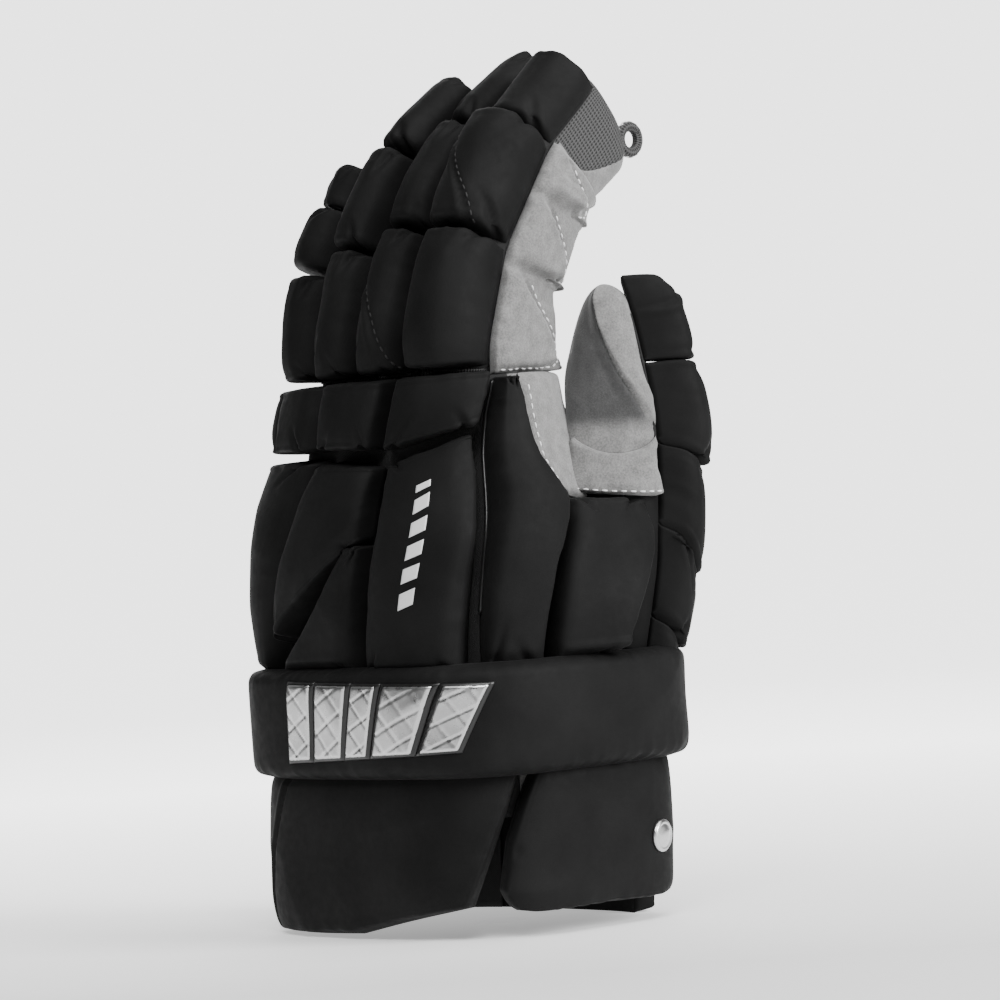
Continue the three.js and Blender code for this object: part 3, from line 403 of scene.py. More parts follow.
class Pad:
    """A cushion on a grid of (a, b). Its surface is point(a, b, lift), with lift its height off the shell."""

    def __init__(self, node, point, lower, thickness, roll=(2.4, 3.6), cell=3.0, material="shell", fill=0.8,
                 creases=True, blow=0.9):
        self.node = node
        self.material = material
        self.fill = fill
        self.creases = creases
        self.blow = blow
        self.point = point
        self.lower = lower
        self.thickness = thickness
        rough = self.sheet(np.linspace(0, 1, 9), np.linspace(0, 1, 9), lambda a, b: lower)
        self.length_a = np.linalg.norm(np.diff(rough, axis=0), axis=-1).sum(axis=0).mean()
        self.length_b = np.linalg.norm(np.diff(rough, axis=1), axis=-1).sum(axis=1).mean()
        self.roll = roll
        self.a = grid_lines(int(np.clip(self.length_a / cell, FEWEST_CELLS, MOST_CELLS)))
        self.b = grid_lines(int(np.clip(self.length_b / cell, FEWEST_CELLS, MOST_CELLS)))
        self.upper = self.sheet(self.a, self.b, self.lift)
        self.under = self.sheet(self.a, self.b, lambda a, b: lower)

    def sheet(self, a, b, lift):
        grid_a, grid_b = grid_of(a, b)
        return self.point(grid_a, grid_b, lift(grid_a, grid_b))

    def rounding(self, t, length, roll):
        inset = np.minimum(t, 1 - t) * length / min(roll, 0.3 * length)
        return np.sqrt(np.clip(1 - (1 - np.minimum(inset, 1)) ** 2, 0, 1))

    def lift(self, a, b):
        edge = self.rounding(a, self.length_a, self.roll[0]) * self.rounding(b, self.length_b, self.roll[1])
        return self.lower + (self.thickness(a, b) - self.lower) * edge

    def refine(self):
        """Doubles the grid both ways. The edge keeps its shape."""
        for axis in (0, 1):
            self.upper = between(self.upper, axis)
        self.a = between(self.a, 0)
        self.b = between(self.b, 0)
        self.under = self.sheet(self.a, self.b, lambda a, b: self.lower)
        for edge in np.index_exp[0, :], np.index_exp[-1, :], np.index_exp[:, 0], np.index_exp[:, -1]:
            self.upper[edge] = self.under[edge]

    def sample(self, grid, a, b):
        """Values of a grid at places (a, b)."""
        row = np.interp(a, self.a, np.arange(len(self.a)))
        column = np.interp(b, self.b, np.arange(len(self.b)))
        i = np.minimum(row.astype(int), len(self.a) - 2)
        j = np.minimum(column.astype(int), len(self.b) - 2)
        s = (row - i)[..., None]
        t = (column - j)[..., None]
        return mix(mix(grid[i, j], grid[i + 1, j], s), mix(grid[i, j + 1], grid[i + 1, j + 1], s), t)

    def on_top(self, a, b, lift=0.0):
        """Points at places (a, b), lifted off the present shape, and the directions straight out of it."""
        normal = unit(self.sample(self.normals(), np.asarray(a, float), np.asarray(b, float)))
        place = self.sample(self.upper, np.asarray(a, float), np.asarray(b, float))
        return place + np.asarray(lift, float)[..., None] * normal, normal

    def normals(self):
        normal = unit(np.cross(np.gradient(self.upper, axis=1), np.gradient(self.upper, axis=0)))
        return normal if (normal * (self.upper - self.under)).sum() > 0 else -normal

    def places(self):
        return grid_of(self.a, self.b)

    def insets(self):
        """Distances in from the ends and from the sides, in millimetres."""
        grid_a, grid_b = self.places()
        return np.minimum(grid_a, 1 - grid_a) * self.length_a, np.minimum(grid_b, 1 - grid_b) * self.length_b

    def move(self, height):
        """Moves the upper sheet out by height. It stays put on its sewn edge."""
        free = np.clip(np.minimum(*self.insets()) / SEWN_EDGE, 0, 1)
        self.upper = self.upper + self.normals() * (height * free)[..., None]

    def groove(self, path, depth, width, fade=0.0, lip=0.0):
        """Presses a channel along a path of (a, b) places, fading to its end, with a lip on one side."""
        t, line_a, line_b = along_path(path, GROOVE_STEPS)
        line_a = line_a * self.length_a
        line_b = line_b * self.length_b
        grid_a, grid_b = self.places()
        off_a = grid_a.ravel()[:, None] * self.length_a - line_a
        off_b = grid_b.ravel()[:, None] * self.length_b - line_b
        gap = np.hypot(off_a, off_b)
        nearest = gap.argmin(axis=1)
        rows = np.arange(len(gap))
        gap = gap[rows, nearest]
        side = np.sign(np.gradient(line_a)[nearest] * off_b[rows, nearest]
                       - np.gradient(line_b)[nearest] * off_a[rows, nearest])
        strength = 1 - fade * t[nearest]
        rim = lip * (side > 0) * np.exp(-(((gap - LIP_OFFSET) / LIP_WIDTH) ** 2))
        channel = depth * np.exp(-((gap / width) ** 2))
        self.move((strength * (rim - channel)).reshape(grid_a.shape))


def folds(points, size, seed):
    """Fold pattern in -1..1 at each point, with folds about size apart."""
    offset = Vector((seed * 13.7, seed * 5.1, seed * 9.3))
    flat = points.reshape(-1, 3)
    values = np.array([noise.noise(Vector(p / size) + offset) for p in flat])
    return (1 - 4 * np.abs(values)).reshape(points.shape[:-1])


END_FOLDS = {"height": 0.38, "size": 6.5, "reach": 4.5}
SIDE_FOLDS = {"height": 0.25, "size": 9, "reach": 4}
UNEVEN_FILLING = {"height": 0.28, "size": 30}
FOLD_STRETCH = 0.3  # folds run in from the seam, so they change little that way
FAR_EDGE = 40.0  # keeps the folds of opposite edges apart


def edge_folds(kind, places, inset, seed):
    return kind["height"] * folds(places, kind["size"], seed) * np.exp(-inset / kind["reach"])


def soften(pad, seed):
    """Uneven filling, and small folds where the cover is sewn down."""
    grid_a, grid_b = pad.places()
    up, along = grid_a * pad.length_a, grid_b * pad.length_b
    inset_a, inset_b = pad.insets()
    at_end = np.stack([along, np.where(grid_a > 0.5, FAR_EDGE, 0.0), FOLD_STRETCH * inset_a], -1)
    at_side = np.stack([up, np.where(grid_b > 0.5, FAR_EDGE, 0.0), FOLD_STRETCH * inset_b], -1)
    filling = folds(np.stack([up, along, 0 * up], -1), UNEVEN_FILLING["size"], seed + 90)
    pad.move(edge_folds(END_FOLDS, at_end, inset_a, seed)
             + edge_folds(SIDE_FOLDS, at_side, inset_b, seed + 50)
             + UNEVEN_FILLING["height"] * filling)


PLAIN_CORNERS = 0.3  # share of a pad's corners that have no tuck
TUCKS = {"inset": (2.5, 6), "length": (6, 11), "slant": (2, 6), "depth": (2.2, 3.4), "width": (0.9, 1.4)}


def crease(pad, random):
    """Sharp tucks that run in from a pad's corners, where the cover is gathered into the seam."""
    for end in (0.0, 1.0):
        for side in (0.0, 1.0):
            if random.random() < PLAIN_CORNERS:
                continue
            inward_a, inward_b = 1 - 2 * end, 1 - 2 * side
            across = random.uniform(*TUCKS["inset"]) / pad.length_b
            reach_a = random.uniform(*TUCKS["length"]) / pad.length_a
            reach_b = across + random.uniform(*TUCKS["slant"]) / pad.length_b
            path = [(end + inward_a * share * reach_a, side + inward_b * mix(across, reach_b, share))
                    for share in (0.0, 0.5, 1.0)]
            depth = random.uniform(*TUCKS["depth"])
            pad.groove(path, depth, random.uniform(*TUCKS["width"]), fade=0.9, lip=0.8)


# Making the pads


def clear_of_band(height, lift):
    """Panels that reach behind the wrist band stay under it."""
    behind = (height > CUFF_HEIGHT - CLEARANCE) & (height < BAND_TOP + CLEARANCE)
    return np.where(behind, np.minimum(lift, BAND_LIFT - 2 * CLEARANCE), lift)


END_SPREAD = 0.07  # how far a pad's ends lean towards the next pads, for each millimetre of height


def hand_pad(node, rungs, lower, edge, top, rise=0.0, corner=CORNER_PULL, under_band=True, spread=END_SPREAD,
             **options):
    def point(a, b, lift):
        soft_a, soft_b = soft_corner(a, b, corner)
        height, angle = on_rungs(rungs, soft_a, soft_b)
        height = height + spread * (lift - lower) * (2 * soft_a - 1) ** 3
        return hand_surface(height, angle, clear_of_band(height, lift) if under_band else lift)

    return Pad(node, point, lower, lambda a, b: mix(edge, top, crown(a, b, 4, 4)) + rise * b * b, **options)


def chain_pad(node, chain, span, angles, thickness, side_lift, bow=(0, 0), corner=CORNER_PULL,
              spread=END_SPREAD, **options):
    """A pad on a finger or the thumb. Span holds its ends, each as one length or one for each side."""
    (start, start_b), (end, end_b) = (np.broadcast_to(edge, 2) for edge in span)

    def point(a, b, lift):
        soft_a, soft_b = soft_corner(a, b, corner)
        arch = 1 - (2 * b - 1) ** 2
        along = mix(mix(start, start_b, b) + bow[0] * arch, mix(end, end_b, b) + bow[1] * arch, soft_a)
        along = along + spread * (lift - UNDER_PAD) * (2 * soft_a - 1) ** 3
        angle = mix(angles[0], angles[1], soft_b)
        return chain.surface(along, angle, lift, mix(side_lift[0], side_lift[1], b))

    return Pad(node, point, UNDER_PAD, thickness, **options)


def crowned(edge, top):
    return lambda a, b: mix(edge, top, crown(a, b))


def on_cuff(rungs):
    share = CUFF_HEIGHT / HAND_LENGTH
    return [[low_a * share, angle_a, low_b * share, angle_b] for low_a, angle_a, low_b, angle_b in rungs]


pads = {}


def keep(pad):
    pads[pad.node] = pad
    return pad


for node, rungs in BACK_PANELS.items():
    rise = SIDE_REAR_RISE if node == "side_rear" else 0
    keep(hand_pad(node, rungs, UNDER_PANEL, BACK_PAD_EDGE, BACK_PAD, rise, roll=(2, 3)))
for node, rungs in KNUCKLE_PADS.items():
    keep(hand_pad(node, rungs, UNDER_PANEL, BACK_PAD_EDGE, BACK_PAD, under_band=False, roll=(1.8, 3)))


# From a share of the hand's length up, and by degrees round the hand
WEB_HOLLOW = {"depth": 3.2, "from": 0.86, "over": 0.1, "deepens": 30, "end": 125, "fades": 50}
WEB_COVER_RUNGS = INDEX_WEB[:-1] + [[1.0015, -31.5, 1.0015, 36]]  # up to the cloth across the hand's top


def web_hollow(height, angle):
    """The hand's side is drawn in under the index finger's loose cover."""
    up = ease((height / HAND_LENGTH - WEB_HOLLOW["from"]) / WEB_HOLLOW["over"])
    far_side = ease((WEB_HOLLOW["end"] - angle) / WEB_HOLLOW["fades"])
    return WEB_HOLLOW["depth"] * up * ease(angle / WEB_HOLLOW["deepens"]) * far_side


def web_point(a, b, lift):
    height, angle = on_rungs(WEB_COVER_RUNGS, *soft_corner(a, b, CORNER_PULL))
    return hand_surface(height, angle, lift - web_hollow(height, angle))


keep(Pad("index_web", web_point, UNDER_PAD, lambda a, b: mix(2.2, 3, crown(a, b, 4, 4)), roll=(1, 1.4),
         material="suede", fill=0.1, creases=False))

SEAM_GAP = 0.6  # left open between two covers that are sewn to one another
PAD_START = -146.25
PAD_ENDS = {"index": -25.1, "middle": -46, "ring": -42, "little": -33.75}
TIP_TRIM = {"index": 5, "middle": 0, "ring": 0, "little": 0}
TIP_TOPS = {"index": 6.5, "middle": 12, "ring": 12.5, "little": 12.5}
for name, chain in fingers.items():
    spec = chain.spec
    first, second, _ = chain.lengths
    cuts = [SEAM_GAP, first, first + second, chain.length + spec["reach"] - TIP_TRIM[name]]
    for i, top in enumerate([FINGER_PAD, FINGER_PAD, TIP_TOPS[name]]):
        span = (cuts[i] + SEAM_GAP / 2, cuts[i + 1] - SEAM_GAP / 2)
        keep(chain_pad(f"{name}_pad_{i + 1}", chain, span, (PAD_START, PAD_ENDS[name]),
                       crowned(min(FINGER_PAD_EDGE, 0.8 * top), top), spec["side_lift"], roll=(2.2, 4)))

# One suede cover with three puffs. Cuts are shares of the finger, at the cover's back and palm edges.
PUFF_CUTS = np.array([(-0.018, -0.018), (0.295, 0.305), (0.52, 0.59), (0.69, 0.75)])
PUFF_ANGLES = (-24.8, 78.75)
PUFF_REACHES = [0.72, 0.66, 0.56]  # how far across the cover each puff comes
PUFF_MARGIN = 1.4
PUFF_RISE = 4.8
PUFF_SEAM = 4.5  # from a cut to a puff's full height
PUFF_TOP_SEAM = 3  # the same at the top of the last puff
PUFF_SIDE = 3.2  # from a puff's palm edge to its full height
PUFF_VALLEY = 0.45  # how full the cover stays in a valley, at its back edge
PUFF_SLANT = 0.75  # how much of its reach a puff loses towards its top
PUFF_FOOT_REACH = 0.72  # share of its reach that it has at its foot
PUFF_OVERHANG = 1.7
PUFF_HOLLOW = 1.2
COVER_WIDTH = 34
# How far the cover's palm edge stands out, at each puff's foot and top
COVER_FLARE = [(8.5, 2.5), (2.8, 0.2), (0.2, 0.2)]
index = fingers["index"]


def puff_places(a, b):
    """Which puff a place on the cover is on, how far up that puff, and its length there."""
    cuts = [mix(back, palm, b) * index.length for back, palm in PUFF_CUTS]
    along = mix(cuts[0], cuts[3], a)
    number = (along >= cuts[1]).astype(int) + (along >= cuts[2])
    low = np.choose(number, cuts[:3])
    high = np.choose(number, cuts[1:])
    return number, (along - low) / (high - low), high - low


def puff_edge(number, up):
    """How far across the cover a puff comes: widest low down, and slanting back to its top."""
    slant = 1 - PUFF_SLANT * ease((up - 0.3) / 0.75)
    return np.choose(number, PUFF_REACHES) * slant * mix(PUFF_FOOT_REACH, 1, ease(up / 0.2))


def puff_thickness(a, b):
    number, up, length = puff_places(a, b)
    inset = np.minimum(up, 1 - up) * length
    inset = np.where((number == 2) & (up > 0.5), np.minimum(inset, PUFF_TOP_SEAM), inset)
    valley = mix(mix(PUFF_VALLEY, 0, ease(b / 0.3)), 1, ease(inset / PUFF_SEAM))
    round_side = ease((puff_edge(number, up) - b) * COVER_WIDTH / PUFF_SIDE)
    foot, top = (np.choose(number, column) for column in zip(*COVER_FLARE))
    flare = mix(foot, top, ease(up / 0.9)) * ease((b - 0.35) / 0.6)
    near_back, near_palm = mix(0.55, 1, ease(b / 0.2)), mix(1, 0.6, ease((b - 0.35) / 0.4))
    puffed = PUFF_RISE * valley * round_side * near_back * near_palm
    overhang = PUFF_OVERHANG * (number > 0) * (1 - ease(up * length / 5)) * ease((b - 0.42) / 0.12)
    hollow = PUFF_HOLLOW * (number < 2) * ease((up - 0.7) / 0.2) * ease((b - 0.4) / 0.15)
    return np.maximum(PUFF_MARGIN + flare + puffed + overhang - hollow, PUFF_MARGIN)


puff_span = (PUFF_CUTS[0] * index.length, PUFF_CUTS[3] * index.length)
keep(chain_pad("index_side", index, puff_span, PUFF_ANGLES, puff_thickness, (1, 1), corner=0.005, spread=0,
               roll=(0.9, 0.9), material="suede", cell=2.0, creases=False))


def on_cover(number, up, b):
    """The cover's own (a, b) places for places on a puff."""
    foot, low, high, top = (mix(*PUFF_CUTS[i][:, None], b) for i in (0, number, number + 1, 3))
    return list(zip((mix(low, high, up) - foot) / (top - foot), b))


def thumb_thickness(edge, top, at_tip):
    """Rounded both ways. The last pad also thins towards the thumb's tip."""
    return lambda a, b: (mix(edge, top, crown(a, b, 4, 3))
                         * np.sqrt(1 - 0.7 * at_tip * np.clip((a - 0.7) / 0.3, 0, 1) ** 2))


THUMB_PAD_ANGLES = (-123.75, -56.25)
THUMB_SIDE_LIFT = (0.3, 0.3)
THUMB_SPREAD = 0.16
for i, cut in enumerate(THUMB_CUTS[1:]):
    below = THUMB_CUTS[i]
    span = (below["at"] * thumb.length + SEAM_GAP / 2, cut["at"] * thumb.length - SEAM_GAP / 2)
    shape = thumb_thickness(below["edge"] * THUMB_PAD, below["top"] * THUMB_PAD, i == 4)
    keep(chain_pad(f"thumb_pad_{i + 1}", thumb, span, THUMB_PAD_ANGLES, shape, THUMB_SIDE_LIFT,
                   bow=(below["bow"], cut["bow"]), corner=0.02, spread=THUMB_SPREAD, roll=(0.8, 4)))


def hem_thickness(a, b):
    """Thickest near its stitched foot, and thinning out where it runs into the thumb's suede."""
    return mix(HEM["top"], HEM_THIN, ease(a))


keep(chain_pad("thumb_hem", thumb, (HEM["from"] * thumb.length, HEM["to"] * thumb.length),
               (HEM["start"], HEM["end"]), hem_thickness, (1, 1), bow=(0, -7), spread=0, roll=(1, 1.2),
               material="suede", fill=0.1, creases=False))


def band_point(a, b, lift):
    soft_a, soft_b = soft_corner(a, b, 0.02)
    return hand_surface(mix(CUFF_HEIGHT, BAND_TOP, soft_a), mix(BAND_START, BAND_END, soft_b), lift)


keep(Pad("wrist_band", band_point, BAND_LIFT, crowned(BAND_EDGE, BAND_CROWN), roll=(5, 5),
         creases=False, blow=0.3))
for node, panel in CUFF_PANELS.items():
    keep(hand_pad(node, on_cuff(panel["rungs"]), UNDER_CUFF, CUFF_PAD_EDGE, CUFF_PAD, corner=panel["corner"],
                  spread=0, roll=(2.5, 2.5), creases=False, blow=0.5))
wrist_heights = [CUFF_HEIGHT + CUFF_TUCK + PAD_GROOVE, BAND_TOP - PANEL_TUCK - PAD_GROOVE]
wrist_start, wrist_end = BAND_END + WRIST_GAP, BAND_START + 360 - WRIST_GAP
wrist_rungs = [[height / HAND_LENGTH, wrist_start, height / HAND_LENGTH, wrist_end]
               for height in wrist_heights]
keep(hand_pad("wrist_palm", wrist_rungs, UNDER_PANEL, WRIST_PAD / 2, WRIST_PAD, under_band=False, spread=0,
              roll=(2, 2), material="cloth", fill=0.3, creases=False))

# Cloth: every cover is blown up on its foam, held along its seam

CLOTH_SCALE = 0.05  # simulation units for a millimetre
CLOTH_FRAMES = 14


def grid_faces(rows, columns, first=0, flip=False):
    i, j = grid_of(np.arange(rows), np.arange(columns))
    corner = (first + i * (columns + 1) + j).ravel()
    faces = np.stack([corner, corner + 1, corner + columns + 2, corner + columns + 1], axis=1)
    return faces[:, ::-1] if flip else faces


def turned_in(pad):
    """Whether faces in the grid's own order look into the pad."""
    upper = pad.upper
    normal = np.cross(np.gradient(upper, axis=1), np.gradient(upper, axis=0))
    return (normal * (upper - pad.under)).sum() < 0


def inflate(cushions):
    points = np.concatenate([pad.upper.reshape(-1, 3) for pad in cushions])
    starts = np.cumsum([0] + [pad.upper.shape[0] * pad.upper.shape[1] for pad in cushions])
    faces, held = [], []
    for pad, first in zip(cushions, starts):
        rows, columns = len(pad.a) - 1, len(pad.b) - 1
        faces.append(grid_faces(rows, columns, first, turned_in(pad)))
        inner = np.ones(pad.upper.shape[:2], bool)
        inner[1:-1, 1:-1] = False
        held.append(first + np.flatnonzero(inner))
    mesh = bpy.data.meshes.new("covers")
    mesh.from_pydata((points * CLOTH_SCALE).tolist(), [], np.concatenate(faces).tolist())
    covers = new_object("covers", mesh)
    covers.vertex_groups.new(name="seam").add(np.concatenate(held).tolist(), 1.0, "REPLACE")
    cloth = covers.modifiers.new("Cloth", "CLOTH")
    settings = cloth.settings
    settings.quality = 4
    settings.mass = 0.15
    settings.tension_stiffness = 8
    settings.compression_stiffness = 8
    settings.shear_stiffness = 2
    settings.bending_stiffness = 0.05
    settings.shrink_min = -0.06
    settings.use_pressure = True
    settings.uniform_pressure_force = 2
    settings.vertex_group_mass = "seam"
    settings.effector_weights.gravity = 0
    cloth.collision_settings.use_collision = False
    cloth.point_cache.frame_start = 1
    cloth.point_cache.frame_end = CLOTH_FRAMES
    scene = bpy.context.scene
    for number in range(1, CLOTH_FRAMES + 1):
        scene.frame_set(number)
    blown = covers.evaluated_get(bpy.context.evaluated_depsgraph_get()).data
    result = np.empty(len(points) * 3)
    blown.vertices.foreach_get("co", result)
    moves = result.reshape(-1, 3) / CLOTH_SCALE - points
    print("cloth moved", float(np.linalg.norm(moves, axis=1).mean()), "mm on average")
    bpy.data.objects.remove(covers)
    bpy.data.meshes.remove(mesh)
    scene.frame_set(1)
    for pad, first, end in zip(cushions, starts, starts[1:]):
        outward = unit(pad.upper - pad.under)
        height = (moves[first:end].reshape(pad.upper.shape) * outward).sum(axis=-1, keepdims=True)
        pad.upper = pad.upper + outward * pad.blow * np.tanh(height / pad.blow)


RANDOM_SEED = 7
inflate(list(pads.values()))
random = np.random.default_rng(RANDOM_SEED)
for seed, pad in enumerate(pads.values()):
    pad.refine()
    pad.refine()
    soften(pad, seed)
    if pad.creases:
        crease(pad, random)

# Sewn channels across pads, as (a, b) paths: a up the pad, b from its little-finger edge to its thumb edge
SEAM_DEPTH = 0.9
SEAM_WIDTH = 1.1
SEAMS = [
    ("index_pad_2", [(1, 0.1), (0.5, 0.36), (0, 0.74)]),
    ("middle_pad_1", [(1, 0.14), (0.6, 0.22), (0.3, 0.5), (0, 0.92)]),
    ("middle_pad_2", [(0.8, 0.1), (0.1, 0.04)]),
    ("cuff_back", [(0.3, 0), (0.32, 0.5), (0.36, 1)]),
    ("thumb_pad_5", [(0.6, 0), (0.78, 0.5), (0.6, 1)]),
]
for node, path in SEAMS:
    pads[node].groove(path, SEAM_DEPTH, SEAM_WIDTH, lip=0.7)

# The cover's seam around each puff, and the slit under the two upper ones
PUFF_STITCH_DEPTH = 0.7
PUFF_STITCH_WIDTH = 0.9
SLIT_DEPTH = 1.7
SLIT_WIDTH = 0.7
SEAM_BESIDE_PUFF = 0.05  # share of the cover's width from a puff to its seam, and on to the stitches
seam_up = np.linspace(0.05, 0.9, 24)
puff_seams = [on_cover(number, seam_up, puff_edge(number, seam_up) + SEAM_BESIDE_PUFF) for number in range(3)]
for path in puff_seams:
    pads["index_side"].groove(path, PUFF_STITCH_DEPTH, PUFF_STITCH_WIDTH)
for number in (1, 2):
    slit = np.linspace(0.5, 0.96, 12)
    pads["index_side"].groove(on_cover(number, 0, slit), SLIT_DEPTH, SLIT_WIDTH)

# Meshes and materials


def make_object(name, points, faces, material, uv=None):
    mesh = bpy.data.meshes.new(name)
    mesh.from_pydata(((np.asarray(points) + SHIFT) * MM).tolist(), [], [list(map(int, f)) for f in faces])
    mesh.validate()
    mesh.shade_smooth()
    mesh.materials.append(materials[material])
    if uv is not None:
        layer = mesh.uv_layers.new(name="cloth")
        loops = np.empty(len(mesh.loops), int)
        mesh.loops.foreach_get("vertex_index", loops)
        layer.data.foreach_set("uv", np.asarray(uv)[loops].ravel())
    return new_object(name, mesh)


def put_in_place(obj, material, *nodes):
    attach(obj, "root")
    if nodes:
        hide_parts(*nodes)
    return obj


def closed_pad_mesh(pad):
    """Upper and under sheet sewn together along their shared edge."""
    rows, columns = len(pad.a) - 1, len(pad.b) - 1
    count = (rows + 1) * (columns + 1)
    i, j = np.divmod(np.arange(count), columns + 1)
    inside = (i > 0) & (i < rows) & (j > 0) & (j < columns)
    under_index = np.arange(count)
    under_index[inside] = count + np.arange(inside.sum())
    points = np.vstack([pad.upper.reshape(-1, 3), pad.under.reshape(-1, 3)[inside]])
    flip = turned_in(pad)
    above = grid_faces(rows, columns, flip=flip)
    below = under_index[grid_faces(rows, columns, flip=not flip)]
    grid_a, grid_b = pad.places()
    uv = np.stack([grid_b * pad.length_b, grid_a * pad.length_a], -1).reshape(-1, 2)
    return points, np.vstack([above, below]), np.vstack([uv, uv[inside]])


class Shader:
    """Adds nodes to a material, by type and inputs."""

    def __init__(self, name):
        self.material = bpy.data.materials.new(name)
        self.material.use_nodes = True
        self.tree = self.material.node_tree
        self.base = self.tree.nodes["Principled BSDF"]

    def add(self, kind, inputs=None, **settings):
        node = self.tree.nodes.new(kind)
        for key, value in settings.items():
            setattr(node, key, value)
        for key, value in (inputs or {}).items():
            self.connect(node.inputs[key], value)
        return node

    def connect(self, socket, value):
        if isinstance(value, bpy.types.NodeSocket):
            self.tree.links.new(value, socket)
        elif isinstance(value, bpy.types.Node):
            self.tree.links.new(value.outputs[0], socket)
        else:
            socket.default_value = value

    def set(self, **inputs):
        for key, value in inputs.items():
            self.connect(self.base.inputs[key.replace("_", " ")], value)

    def position(self):
        return self.add("ShaderNodeTexCoord").outputs["Object"]

    def cloth_place(self):
        return self.add("ShaderNodeUVMap", uv_map="cloth").outputs["UV"]

    def noise(self, size, detail=2.0, vector=None):
        """Noise with features about size millimetres across."""
        return self.add("ShaderNodeTexNoise", {"Vector": vector or self.position(), "Scale": 1 / (size * MM),
                                               "Detail": detail}).outputs["Fac"]

    def ramp(self, value, low, high, low_value, high_value):
        return self.add("ShaderNodeMapRange", {"Value": value, "From Min": low, "From Max": high,
                                               "To Min": low_value, "To Max": high_value}).outputs["Result"]

    def math(self, operation, first, second=0.0):
        return self.add("ShaderNodeMath", {0: first, 1: second}, operation=operation).outputs[0]

    def blend(self, factor, first, second):
        node = self.add("ShaderNodeMix", {0: factor}, data_type="RGBA")
        self.connect(node.inputs[6], first)
        self.connect(node.inputs[7], second)
        return node.outputs[2]

    def point_number(self, name):
        """A number stored on the mesh's points, and 0 on a mesh without it."""
        return self.add("ShaderNodeAttribute", attribute_name=name).outputs["Fac"]

    def bump(self, height, distance, strength=1.0, under=None):
        inputs = {"Height": height, "Distance": distance * MM, "Strength": strength}
        if under is not None:
            inputs["Normal"] = under
        return self.add("ShaderNodeBump", inputs).outputs["Normal"]

    def waves(self, turn, pitch):
        """Sine in -1..1 across the cloth, turned by an angle, with a pitch in millimetres."""
        split = self.add("ShaderNodeSeparateXYZ", {0: self.cloth_place()})
        c = 2 * math.pi * math.cos(math.radians(turn)) / pitch
        s = 2 * math.pi * math.sin(math.radians(turn)) / pitch
        over, up = self.math("MULTIPLY", split.outputs[0], c), self.math("MULTIPLY", split.outputs[1], s)
        return self.math("SINE", self.math("ADD", over, up))


def grey(level):
    return (level, level, level, 1)


def shell_material():
    shader = Shader("black_shell")
    weave = shader.math("MULTIPLY", shader.waves(35, 0.75), shader.waves(-55, 0.75))
    rub = shader.ramp(shader.noise(24, 3), 0.35, 0.7, 0, 1)
    grain = shader.noise(0.35, 3)
    fine = shader.bump(weave, 0.03, 0.35)
    normal = shader.bump(grain, 0.05, 0.5, fine)
    normal = shader.bump(shader.noise(7, 2), 0.25, 0.35, normal)
    shader.set(
        Base_Color=shader.blend(rub, grey(0.0065), grey(0.0095)),
        Roughness=shader.ramp(shader.noise(3, 3), 0.3, 0.7, 0.58, 0.7),
        Normal=normal,
        Specular_IOR_Level=0.07,
        Sheen_Weight=0.01,
        Sheen_Roughness=0.45,
    )
    return shader.material


def cloth_material():
    shader = Shader("black_cloth")
    weave = shader.math("MULTIPLY", shader.waves(0, 0.9), shader.waves(90, 0.9))
    shader.set(
        Base_Color=shader.blend(shader.noise(5, 2), grey(0.004), grey(0.008)),
        Roughness=0.85,
        Normal=shader.bump(weave, 0.12, 0.6),
    )
    return shader.material


def suede_material():
    shader = Shader("grey_suede")
    nap = shader.ramp(shader.noise(5, 4), 0.35, 0.68, 0, 1)
    flecks = shader.ramp(shader.noise(0.7, 3), 0.32, 0.68, 0, 1)
    tone = shader.math("ADD", shader.math("MULTIPLY", nap, 0.4), shader.math("MULTIPLY", flecks, 0.6))
    # Lit and shaded copies of the suede. The shaded copy is painted shade, laid on where the mesh's points
    # ask for it: the sunken panel beside the thumb's ridge.
    light = shader.blend(tone, (0.09, 0.089, 0.087, 1), (0.215, 0.213, 0.21, 1))
    dark = shader.blend(tone, grey(0.014), grey(0.042))
    normal = shader.bump(shader.noise(0.5, 4), 0.16, 0.8)
    normal = shader.bump(shader.noise(9, 2), 0.5, 0.4, normal)
    shader.set(
        Base_Color=shader.blend(shader.point_number("darker"), light, dark),
        Roughness=0.95,
        Normal=normal,
        Specular_IOR_Level=0.15,
        Sheen_Weight=0.25,
        Sheen_Roughness=0.7,
    )
    return shader.material


def mesh_material():
    shader = Shader("grey_knit")
    loops = shader.math("MULTIPLY", shader.waves(30, 1.9), shader.waves(-30, 1.9))
    hole = shader.ramp(loops, 0.0, 0.35, 0, 1)
    yarn = shader.ramp(shader.noise(0.5, 2), 0.3, 0.7, 0.8, 1.1)
    thread = shader.blend(yarn, grey(0.03), grey(0.06))
    shader.set(
        Base_Color=shader.blend(hole, thread, grey(0.004)),
        Roughness=0.8,
        Normal=shader.bump(shader.math("MULTIPLY", loops, -1), 0.3, 0.9),
    )
    return shader.material


def metal_material():
    shader = Shader("satin_metal")
    brushed = shader.noise(0.6, 3)
    shader.set(
        Base_Color=shader.blend(brushed, grey(0.5), grey(0.68)),
        Metallic=1.0,
        Roughness=shader.ramp(shader.noise(4, 2), 0.3, 0.7, 0.24, 0.38),
        Normal=shader.bump(brushed, 0.02, 0.3),
    )
    return shader.material


def gloss_material():
    shader = Shader("black_gloss")
    shader.set(
        Base_Color=shader.blend(shader.noise(6, 2), grey(0.006), grey(0.01)),
        Roughness=0.32,
    )
    return shader.material


def thread_material(name, level):
    shader = Shader(name)
    shader.set(
        Base_Color=shader.blend(shader.noise(0.4, 2), grey(0.75 * level), grey(level)),
        Roughness=0.7,
        Normal=shader.bump(shader.noise(0.25, 2), 0.08, 0.7),
    )
    return shader.material


